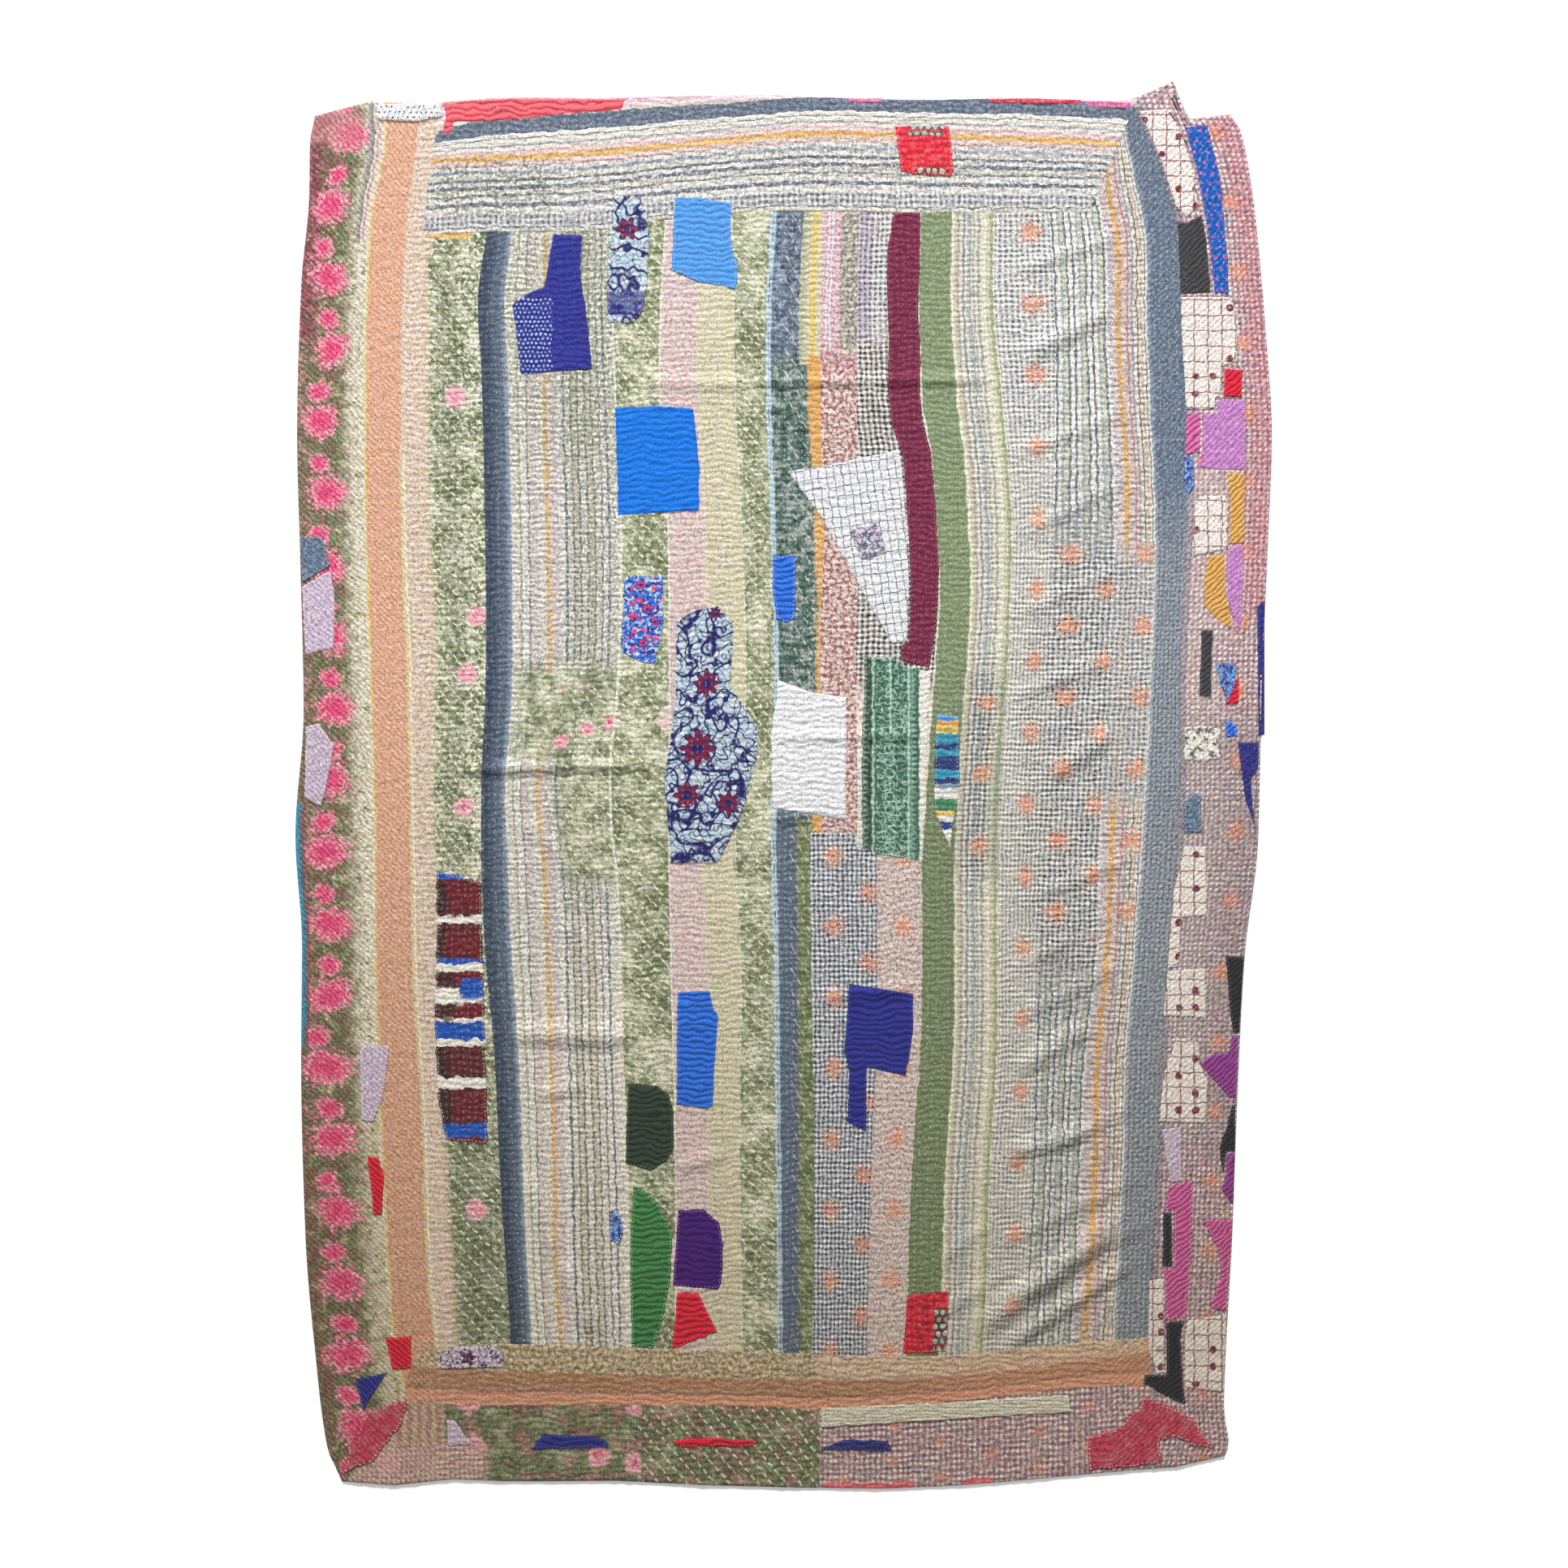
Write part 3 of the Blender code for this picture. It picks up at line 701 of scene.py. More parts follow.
@dataclass(frozen=True)
class Cloth:
    """A cotton cloth of the quilt: its layers of pattern, its nap, and the running stitch that shows on it."""

    name: str
    layers: tuple[Layer, ...]
    thread: Dye = Dye.ECRU
    thread_shows: float = 0.25
    # strength of the painted shade in the furrows and the painted highlight on the crests
    furrow_shade: float = 0.38
    roughness: float = 0.88
    sheen: float = 0.12
    # how strongly the pale flecks show: worn fading, which also stands in for painted highlights on the puckers
    wear_and_highlight: float = 0.2
    speckle: float = 1.5

    @cache
    def material(self) -> bpy.types.Material:
        """The cloth as a material: pattern, pale worn flecks that also serve as painted highlights, painted shade
        in the furrows with painted highlight on the crests, stitches, and painted shade growing towards the foot,
        all in its colour, and nap in its bump.
        """
        tree = ClothTree(self.name)
        colour: Colour = Dye.WHITE.rgba
        for layer in self.layers:
            colour = layer.lay(tree, colour)
        row, ridge = tree.place("quilting")
        crest = tree.wave(tree.maths("ADD", ridge, 0.5), 1.0)
        # painted shade in the furrows and painted highlight on the crests of the puckers, scaled by the cloth's
        # furrow strength
        shade = tree.maths("MULTIPLY_ADD", tree.maths("POWER", crest, 0.6), self.furrow_shade,
            0.98 - 0.62 * self.furrow_shade)
        fine = tree.maths("MULTIPLY_ADD", tree.grain(3.0, 2.0, 0.7, 13.0), self.speckle,
            1 - self.speckle / 2)
        # pale ivory flecks: worn fading, which also stands in for painted highlights on the puckers
        worn = tree.maths("MULTIPLY", tree.step(tree.grain(5.5, 3.0, 0.75, 17.0), 0.54, 0.09), self.wear_and_highlight)
        colour = tree.mix(worn, colour, Dye.IVORY.rgba)
        colour = tree.mix(1.0, colour, tree.grey(tree.maths("MULTIPLY", shade, fine)), "MULTIPLY")
        in_row = tree.band(tree.maths("FRACT", row), 0.42, 0.58, 0.05)
        on_crest = tree.band(tree.maths("FRACT", ridge), 0.28, 0.72, 0.06)
        stitch = tree.maths("MULTIPLY", tree.maths("MULTIPLY", in_row, on_crest),
            tree.step(tree.grain(19.0, 2.0, 0.6, 23.0), 0.46, 0.1))
        colour = tree.mix(tree.maths("MULTIPLY", stitch, self.thread_shows), colour, self.thread.rgba)
        # painted shade: darker and browner towards the foot, a little lighter at the head
        colour = tree.mix(1.0, colour, self.age(tree), "MULTIPLY")
        bump = tree.tree.nodes.new("ShaderNodeBump")
        bump.inputs["Strength"].default_value = 0.75
        bump.inputs["Distance"].default_value = 0.0009
        crumple = tree.maths("MULTIPLY_ADD", tree.grain(9.0, 3.0, 0.6, 29.0), 2.2,
            tree.grain(3.0, 2.0, 0.7, 13.0))
        tree.put(bump.inputs["Height"], tree.maths("MULTIPLY_ADD", stitch, 0.5, crumple))
        shader = tree.tree.nodes.new("ShaderNodeBsdfPrincipled")
        tree.put(shader.inputs["Base Color"], colour)
        shader.inputs["Roughness"].default_value = self.roughness
        shader.inputs["Specular IOR Level"].default_value = 0.25
        shader.inputs["Sheen Weight"].default_value = self.sheen
        tree.put(shader.inputs["Normal"], bump.outputs[0])
        out = tree.tree.nodes.new("ShaderNodeOutputMaterial")
        tree.put(out.inputs[0], shader.outputs[0])
        return tree.material

    def age(self, tree: ClothTree) -> Socket:
        """Painted shade that grows darker and browner towards the foot of the quilt, with the head a little
        lightened.
        """
        row, ridge = tree.place("quilting")
        down = tree.maths("DIVIDE", ridge, RIDGES_DOWN)
        node = tree.tree.nodes.new("ShaderNodeValToRGB")
        node.color_ramp.elements.new(0.5)
        for element, (position, colour) in zip(node.color_ramp.elements, FALLOFF_SHADES):
            element.position, element.color = position, colour
        tree.put(node.inputs[0], down)
        return node.outputs[0]


RIDGES_DOWN = 260.0
# Painted shade down the quilt: colour multipliers from head to foot
FALLOFF_SHADES = ((0.05, (1.04, 1.03, 1.05, 1.0)), (0.5, (0.88, 0.87, 0.86, 1.0)), (0.95, (0.52, 0.49, 0.44, 1.0)))


# Where things lie


def value_noise(x: Points, y: Points, seed: int) -> Points:
    """Smooth noise from -1 to 1 over a plane.

    Args:
        x: Places across, one unit to a lump.
        y: Places along.
        seed: Another number gives other noise.

    Returns:
        The noise at each place.
    """
    size = 128
    lattice = np.random.default_rng(seed).random((size, size)) * 2 - 1
    left, top = np.floor(x).astype(int), np.floor(y).astype(int)
    s, t = x - left, y - top
    s, t = s * s * (3 - 2 * s), t * t * (3 - 2 * t)
    rows = [lattice[(top + k) % size, left % size] * (1 - s) + lattice[(top + k) % size,
        (left + 1) % size] * s
            for k in (0, 1)]
    return rows[0] * (1 - t) + rows[1] * t


class Line:
    """A line that wanders over the quilt: where it lies across, in pixels, at places along it."""

    def __init__(self, *points: tuple[float, float]) -> None:
        """Sets the line's points.

        Args:
            points: Pairs of a place along and a place across, in order along.
        """
        self.along, self.across = (np.array(side, float) for side in zip(*points))
        self.slopes = np.gradient(self.across, self.along) if len(points) > 1 else np.zeros(1)

    def at(self, along: Points) -> Points:
        """Where the line lies across, on a smooth curve through its points, and level past its ends."""
        if len(self.along) == 1:
            return np.full(np.shape(along), self.across[0])
        k = np.clip(np.searchsorted(self.along, along) - 1, 0, len(self.along) - 2)
        step = self.along[k + 1] - self.along[k]
        t = np.clip((along - self.along[k]) / step, 0, 1)
        curve = t * t * (3 - 2 * t)
        swing = (t - 2 * t**2 + t**3) * self.slopes[k] + (t**3 - t**2) * self.slopes[k + 1]
        return self.across[k] * (1 - curve) + self.across[k + 1] * curve + swing * step

    def moved(self, aside: float) -> "Line":
        """The same line, further across."""
        return Line(*zip(self.along, self.across + aside))


class Layout:
    """How the photograph's pixels lie on the quilt, from the frame's own box and rim."""

    left_pixel = 364.0
    foot_pixel = 1834.0
    pixels_wide = 1203.0
    corners = ((388.0, 143.0), (1516.0, 141.0), (1508.0, 1794.0), (421.0, 1825.0))

    def __init__(self) -> None:
        """Reads the quilt's box and rim."""
        low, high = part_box("quilt_body")
        self.low = low
        self.pixel = (high.x - low.x) / self.pixels_wide
        rim = self.rim("quilt_body")
        marks = [int(np.argmin(np.hypot(*(rim - corner).T))) for corner in self.corners]
        sides = []
        for first, last in zip(marks, marks[1:] + marks[:1]):
            forwards = np.take(rim, np.arange(first, first + (last - first) % len(rim) + 1), axis=0,
                mode="wrap")
            backwards = np.take(rim, np.arange(first, first - (first - last) % len(rim) - 1, -1),
                axis=0, mode="wrap")
            sides.append(min(forwards, backwards, key=len))
        self.head, self.right, self.foot, self.left = sides

    def metres(self, px: Points, py: Points) -> tuple[Points, Points]:
        """The quilt's x and y at pixels of the photograph."""
        return self.low.x + (px - self.left_pixel) * self.pixel, self.low.y + (self.foot_pixel - py) * self.pixel

    def rim(self, node: str) -> Points:
        """The rim of a node's upper side, as pixels, going round.

        Args:
            node: A CAD node's name.

        Returns:
            Its corner points, one row each.
        """
        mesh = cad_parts[node].data
        places = np.array([v.co[:] for v in mesh.vertices])
        keys, same = np.unique(np.round(places, 6), axis=0, return_inverse=True)
        same = same.reshape(-1)
        follows: dict[int, int] = {}
        edges = set()
        for face in mesh.polygons:
            if face.normal.z > UPWARD:
                ring = [int(same[k]) for k in face.vertices]
                edges.update(zip(ring, ring[1:] + ring[:1]))
        for start, end in edges:
            if (end, start) not in edges:
                follows[start] = end
        loop = [next(iter(sorted(follows)))]
        while follows[loop[-1]] != loop[0]:
            loop.append(follows[loop[-1]])
        x, y = keys[loop, 0], keys[loop, 1]
        return np.stack([self.left_pixel + (x - self.low.x) / self.pixel,
                         self.foot_pixel - (y - self.low.y) / self.pixel], axis=1)

    def side(self, points: Points, at: Points, axis: int) -> Points:
        """Where a side of the quilt lies across, at places along one axis of the picture."""
        ordered = points[np.argsort(points[:, axis])]
        return np.interp(at, ordered[:, axis], ordered[:, 1 - axis])

    def inset(self, px: Points, py: Points) -> Points:
        """How far inside the quilt's rim a place is, in pixels."""
        return np.minimum.reduce([
            px - self.side(self.left, py, 1), self.side(self.right, py, 1) - px,
            py - self.side(self.head, px, 0), self.side(self.foot, px, 0) - py,
        ])


UPWARD = 0.35  # how far up a face's normal points where it belongs to the upper side
LAYOUT = Layout()


class Side:
    """One side of the quilt as a line, for the strips that reach it."""

    def __init__(self, points: Points, axis: int) -> None:
        """Keeps the side's points.

        Args:
            points: The side's points in pixels.
            axis: The axis of the picture that the side runs along.
        """
        self.points, self.axis = points, axis

    def at(self, along: Points) -> Points:
        """Where the side lies across."""
        return LAYOUT.side(self.points, along, self.axis)

    def moved(self, aside: float) -> "Side":
        """The side itself, since nothing reaches past it."""
        return self


HEAD, FOOT = Side(LAYOUT.head, 0), Side(LAYOUT.foot, 0)
LEFT, RIGHT = Side(LAYOUT.left, 1), Side(LAYOUT.right, 1)

# Lines that run down the quilt: pixels down, then pixels across
ROSE_EDGE = Line((130, 470), (156, 473), (271, 455), (424, 449), (654, 449), (868, 456), (1021, 460),
    (1198, 461),
                 (1389, 467), (1581, 478), (1676, 487), (1735, 500), (1826, 430))
PEACH_EDGE = Line((130, 516), (156, 514), (271, 501), (424, 493), (654, 495), (868, 503), (1021, 506),
    (1198, 509),
                  (1389, 521), (1581, 528), (1676, 538), (1760, 545))
LEFT_SEAM = Line((130, 548), (170, 541), (262, 528), (460, 524), (650, 526), (750, 533), (950, 530),
    (1140, 537),
                 (1400, 546), (1660, 560), (1700, 562))
SLATE_LEFT = Line((240, 606), (300, 598), (355, 590), (470, 594), (600, 597), (753, 599), (868, 598),
    (944, 594),
                  (1021, 593), (1174, 598), (1293, 609), (1437, 616), (1628, 628), (1700, 632))
MULTI_LEFT = SLATE_LEFT.moved(33)
ORANGE_LEFT = Line((240, 672), (466, 670), (539, 671), (654, 674), (830, 675), (900, 670), (964, 661),
    (1059, 669),
                   (1174, 674), (1293, 678), (1437, 682), (1560, 684), (1700, 694))
OLIVE_LEFT = Line((240, 752), (405, 754), (501, 758), (654, 764), (803, 762), (868, 758), (937, 751),
    (998, 751),
                  (1097, 760), (1300, 766), (1500, 773), (1700, 778))
PINK_LEFT = Line((240, 822), (348, 815), (463, 812), (638, 822), (800, 824), (1071, 824), (1174, 826),
    (1450, 832),
                 (1700, 831))
OLIVE_RIGHT = Line((240, 899), (371, 902), (501, 905), (654, 913), (868, 917), (1040, 905), (1174, 911),
    (1400, 910),
                   (1700, 913))
SLATE_MID = Line((240, 956), (386, 948), (501, 948), (654, 953), (830, 957), (1002, 954), (1174, 957),
    (1600, 962),
                 (1700, 963))
PINK_MID = Line((240, 1014), (386, 1011), (558, 1012), (657, 1015), (753, 1011), (1020, 1012))
CHECK_MID = PINK_MID.moved(45)
STARS_MID = Line((1000, 998), (1174, 999), (1400, 1003), (1700, 1000))
GREEN_LEFT = Line((240, 1133), (386, 1130), (463, 1133), (501, 1135), (558, 1145), (654, 1151),
    (715, 1156), (810, 1151),
                  (887, 1145), (983, 1139), (1059, 1134), (1174, 1134), (1293, 1131), (1437, 1121),
                      (1581, 1116),
                  (1700, 1112))
LINE_RIGHT = Line((240, 1226), (386, 1226), (501, 1237), (654, 1248), (715, 1247), (830, 1242),
    (887, 1238), (983, 1232),
                  (1059, 1230), (1174, 1230), (1293, 1230), (1437, 1221), (1581, 1217), (1700, 1210))
BLUE_LEFT = Line((240, 1290), (386, 1298), (640, 1296), (830, 1290), (983, 1283), (1174, 1277),
    (1400, 1272),
                 (1700, 1258))
BLUE_RIGHT = Line((240, 1352), (300, 1362), (400, 1364), (560, 1372), (654, 1374), (830, 1366),
    (1040, 1355),
                  (1200, 1350), (1300, 1338), (1480, 1330), (1700, 1318))
ORANGE_RIGHT = Line((150, 1364), (233, 1366), (300, 1378), (386, 1378), (501, 1382), (560, 1388),
    (654, 1389),
                    (830, 1381), (1040, 1370), (1174, 1364), (1293, 1353), (1437, 1350), (1581, 1341),
                        (1700, 1332))
SLATE_RIGHT = Line((130, 1385), (165, 1385), (200, 1392), (240, 1400), (271, 1407), (386, 1411),
    (501, 1415),
                   (654, 1422), (830, 1417), (983, 1409), (1198, 1394), (1293, 1386), (1437, 1382),
                       (1581, 1374),
                   (1700, 1368))
BORDER_RIGHT = Line((115, 1388), (135, 1397), (160, 1408), (195, 1424), (271, 1447), (363, 1453),
    (501, 1461), (638, 1461),
                    (830, 1452), (983, 1451), (1198, 1436), (1293, 1429), (1437, 1424), (1581, 1417),
                        (1638, 1416),
                    (1700, 1415), (1740, 1420), (1800, 1410))

# Lines that run across the quilt: pixels across, then pixels down
SLATE_TOP = Line((500, 174), (590, 153), (704, 143), (819, 134), (934, 126), (977, 122), (1130, 124),
    (1283, 124),
                 (1378, 130), (1420, 136))
ORANGE_HEAD = Line((500, 201), (532, 199), (628, 195), (704, 191), (819, 181), (934, 170), (977, 166),
    (1091, 166),
                   (1206, 170), (1375, 178), (1420, 182))
HEAD_SEAM = Line((500, 292), (590, 287), (743, 283), (800, 274), (938, 262), (1130, 263), (1321, 263),
    (1420, 263))
MITRE_DOWN = Line((1300, 300), (1330, 276), (1340, 256), (1384, 154), (1393, 136), (1420, 124))
MITRE_ACROSS = Line((110, 1398), (136, 1393), (154, 1384), (256, 1340), (276, 1330), (300, 1318))
FOOT_SPECKLE = Line((500, 1664), (551, 1658), (780, 1660), (996, 1667), (1168, 1669), (1259, 1660),
    (1417, 1646))
FOOT_PEACH = Line((500, 1684), (551, 1687), (767, 1695), (934, 1700), (1091, 1700), (1235, 1691),
    (1378, 1671),
                  (1440, 1664))
FOOT_SEAM = Line((480, 1722), (551, 1727), (767, 1729), (934, 1731), (1005, 1735), (1187, 1722),
    (1331, 1707),
                 (1440, 1701))
CENTRE_HEAD, CENTRE_FOOT = HEAD_SEAM.moved(-9), FOOT_SPECKLE.moved(9)


@dataclass(frozen=True)
class Guide:
    """A line with the coordinate that the cloth has all along it."""

    line: Line | Side
    reads: float


GUIDES_DOWN = (
    Guide(LEFT, 372), Guide(ROSE_EDGE, 450), Guide(PEACH_EDGE, 494), Guide(LEFT_SEAM, 526),
        Guide(SLATE_LEFT, 591),
    Guide(ORANGE_LEFT, 670), Guide(OLIVE_LEFT, 757), Guide(PINK_LEFT, 814), Guide(OLIVE_RIGHT, 905),
    Guide(SLATE_MID, 948), Guide(GREEN_LEFT, 1136), Guide(LINE_RIGHT, 1228), Guide(BLUE_LEFT, 1290),
    Guide(BLUE_RIGHT, 1362), Guide(ORANGE_RIGHT, 1376), Guide(SLATE_RIGHT, 1412),
        Guide(BORDER_RIGHT, 1454),
    Guide(RIGHT, 1560),
)
GUIDES_HEAD = (Guide(HEAD, 115), Guide(SLATE_TOP, 134), Guide(ORANGE_HEAD, 181), Guide(HEAD_SEAM, 271))
GUIDES_FOOT = (Guide(FOOT_SPECKLE, 1660), Guide(FOOT_PEACH, 1690), Guide(FOOT_SEAM, 1730),
    Guide(FOOT, 1830))


class Run(Enum):
    """Which way a cloth lies on the quilt, and so which guides it follows."""

    DOWN = GUIDES_DOWN
    HEAD = GUIDES_HEAD
    FOOT = GUIDES_FOOT
    FREE = ()

    def place(self, px: Points, py: Points) -> Points:
        """The cloth's own coordinates at pixels, across and along it, one row each."""
        if self is Run.FREE:
            return np.stack([px, py], axis=1)
        along, across = (py, px) if self is Run.DOWN else (px, py)
        reads = np.array(across, float)
        lines = [guide.line.at(along) for guide in self.value]
        for k in range(len(lines) - 1):
            width = np.maximum(lines[k + 1] - lines[k], 1.0)
            share = (across - lines[k]) / width
            span = self.value[k + 1].reads - self.value[k].reads
            here = (share >= 0) & (share < 1)
            reads = np.where(here, self.value[k].reads + share * span, reads)
        before, after = across < lines[0], across >= lines[-1]
        reads = np.where(before, self.value[0].reads + across - lines[0], reads)
        reads = np.where(after, self.value[-1].reads + across - lines[-1], reads)
        return np.stack([reads, along] if self is Run.DOWN else [along, reads], axis=1)


@dataclass(frozen=True)
class Fold:
    """A fold or wrinkle: its two ends in pixels, its height, and half its breadth, in metres."""

    start: tuple[float, float]
    end: tuple[float, float]
    height: float
    reach: float


FOLDS = (
    Fold((533, 950), (826, 940), 0.006, 0.016),
    Fold((935, 909), (1160, 905), 0.003, 0.014),
    Fold((862, 472), (1258, 468), 0.004, 0.014),
    Fold((620, 1272), (796, 1277), 0.007, 0.028),
    Fold((1252, 446), (1378, 376), 0.006, 0.024),
    Fold((1284, 964), (1378, 896), 0.006, 0.024),
    Fold((1244, 1324), (1352, 1256), 0.006, 0.024),
    Fold((1234, 1424), (1348, 1388), 0.006, 0.022),
    Fold((1190, 1650), (1400, 1482), 0.010, 0.028),
    Fold((1222, 1668), (1405, 1546), 0.007, 0.020),
    Fold((648, 1436), (690, 1560), 0.006, 0.024),
    Fold((686, 1540), (738, 1652), 0.006, 0.024),
    Fold((1233, 300), (1230, 1640), 0.002, 0.018),
    Fold((597, 300), (626, 1650), 0.003, 0.020),
)
# Smaller wrinkles, which the frame's own solid leaves out
WRINKLES = FOLDS + tuple(
    Fold((ax, ay), (bx, by), 0.003, 0.018) for ax, ay, bx, by in (
        (1240, 338, 1385, 290), (1236, 566, 1400, 502), (1250, 664, 1384, 592), (1248, 762, 1392, 694),
        (1240, 862, 1384, 806), (1256, 1112, 1402, 1052), (1244, 1196, 1330, 1150),
            (1250, 1256, 1392, 1182),
        (1276, 1424, 1404, 1356), (1216, 1538, 1420, 1442), (1290, 1566, 1428, 1500),
            (1196, 1606, 1330, 1562),
        (1130, 1634, 1250, 1560), (1150, 1560, 1226, 1500), (640, 1010, 700, 1060),
            (700, 1130, 740, 1200),
        (650, 1350, 730, 1336), (780, 470, 930, 476), (540, 520, 590, 600), (1060, 470, 1100, 520),
        (900, 1540, 950, 1600), (830, 1440, 900, 1420), (1000, 1230, 1130, 1215), (930, 1010, 1010, 1004),
    )
)


@dataclass(frozen=True)
class Relief:
    """How the quilted layers lie: puckers between the rows of stitches, folds, and the rounded rim."""

    thickness: float = 0.0029
    pucker: float = 0.0017
    pitch: float = 7.5
    row_pitch: float = 7.2
    rim: float = 3.6
    fold_taper: float = 0.25
    border: float = 92.0
    slant: float = 0.95

    def ridge(self, px: Points, py: Points) -> Points:
        """The number of the pucker at a place, counted down from the head, whole numbers in the furrows."""
        meander = 4.2 * value_noise(px / 24, py / 50, 1) + 2.5 * value_noise(px / 9, py / 8, 2)
        left = np.maximum(0, LEFT_SEAM.at(py) - 22 - px)
        right = np.maximum(0, px - SLATE_RIGHT.at(py))
        return (py + meander + self.slant * (left + right)) / self.pitch + 20

    def row(self, px: Points, py: Points) -> Points:
        """The number of the row of stitches at a place, counted across from the left."""
        return (px + 3.0 * value_noise(px / 30, py / 70, 3)) / self.row_pitch

    def folds(self, x: Points, y: Points) -> Points:
        """How far the folds lift the cloth at places in metres."""
        lift = np.zeros(np.shape(x))
        for fold in WRINKLES:
            ax, ay = LAYOUT.metres(*fold.start)
            bx, by = LAYOUT.metres(*fold.end)
            length = math.hypot(bx - ax, by - ay)
            along = ((x - ax) * (bx - ax) + (y - ay) * (by - ay)) / length**2
            aside = np.abs((x - ax) * (by - ay) - (y - ay) * (bx - ax)) / length
            ends = smooth(along / self.fold_taper) * smooth((1 - along) / self.fold_taper)
            lift += fold.height * np.cos(np.pi / 2 * np.minimum(1, aside / fold.reach)) ** 2 * ends
        return lift

    def height(self, px: Points, py: Points, lap: Points | float = 0.0) -> Points:
        """How far the face is above what the quilt lies on, in metres.

        Args:
            px: Pixels across.
            py: Pixels down.
            lap: How far the cloth lies above the one beneath it.

        Returns:
            The height at each place.
        """
        x, y = LAYOUT.metres(px, py)
        crest = np.abs(np.sin(np.pi * self.ridge(px, py))) ** 0.75
        strength = 0.64 + 0.36 * value_noise(px / 9, py / 7, 4)
        inside = np.clip(LAYOUT.inset(px, py) / self.rim, 0, 1)
        rounded = np.sqrt(1 - (1 - inside) ** 2)
        return UNDERSIDE + (self.thickness + lap + self.pucker * crest * strength + self.folds(x,
            y)) * rounded


UNDERSIDE = 0.0004
RELIEF = Relief()


def smooth(share: Points) -> Points:
    """0 to 1 with level ends, for a share from 0 to 1, and held there outside it."""
    share = np.clip(share, 0, 1)
    return share * share * (3 - 2 * share)


# Making pieces


class Piece:
    """One piece of cloth as a mesh, with the coordinates that its finish needs."""

    def __init__(self, name: str, px: Points, py: Points, z: Points, faces: Points) -> None:
        """Makes the mesh.

        Args:
            name: The piece's name.
            px: The points' pixels across.
            py: The points' pixels down.
            z: The points' heights in metres.
            faces: The faces, one row of point numbers each, all of one size.
        """
        self.px, self.py, self.z, self.faces = px, py, z, faces
        x, y = LAYOUT.metres(px, py)
        mesh = bpy.data.meshes.new(name)
        count, sides = faces.shape
        mesh.vertices.add(len(x))
        mesh.vertices.foreach_set("co", np.stack([x, y, z], axis=1).astype(np.float32).ravel())
        mesh.loops.add(count * sides)
        mesh.loops.foreach_set("vertex_index", faces.astype(np.int32).ravel())
        mesh.polygons.add(count)
        mesh.polygons.foreach_set("loop_start", np.arange(0, count * sides, sides, dtype=np.int32))
        mesh.polygons.foreach_set("loop_total", np.full(count, sides, dtype=np.int32))
        mesh.polygons.foreach_set("use_smooth", np.ones(count, dtype=bool))
        mesh.update(calc_edges=True)
        mesh.validate()
        self.object = bpy.data.objects.new(name, mesh)
        bpy.context.scene.collection.objects.link(self.object)

    def coordinates(self, name: str, places: Points) -> None:
        """Adds a UV layer.

        Args:
            name: The layer's name.
            places: Both coordinates at each point.
        """
        layer = self.object.data.uv_layers.new(name=name)
        corners = np.zeros(len(self.object.data.loops), np.int32)
        self.object.data.loops.foreach_get("vertex_index", corners)
        layer.data.foreach_set("uv", places[corners].astype(np.float32).ravel())

    def map(self, cloth: Points, bake: Points) -> None:
        """Adds the layers for pattern, quilting and baking."""
        self.coordinates("cloth", cloth / UV_SCALE)
        quilting = np.stack([RELIEF.row(self.px, self.py), RELIEF.ridge(self.px, self.py)], axis=1)
        self.coordinates("quilting", quilting / UV_SCALE)
        self.coordinates("OFBake", bake)

    def dress(self, material: bpy.types.Material, nodes: Sequence[str]) -> None:
        """Gives the piece its finish and its place in the frame."""
        self.object.data.materials.append(material)
        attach(self.object, "root")
        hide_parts(*nodes)


def shares(length: float, step: float) -> Points:
    """Shares from 0 to 1 along a length, closer together at its ends, where an edge is turned or rounded."""
    near = np.array([0.0, 0.35, 1.1, 2.2, 3.6])
    inner = np.linspace(near[-1], length - near[-1], max(2, round((length - 2 * near[-1]) / step) + 1))
    return np.concatenate([near[:-1], inner, length - near[-2::-1]]) / length


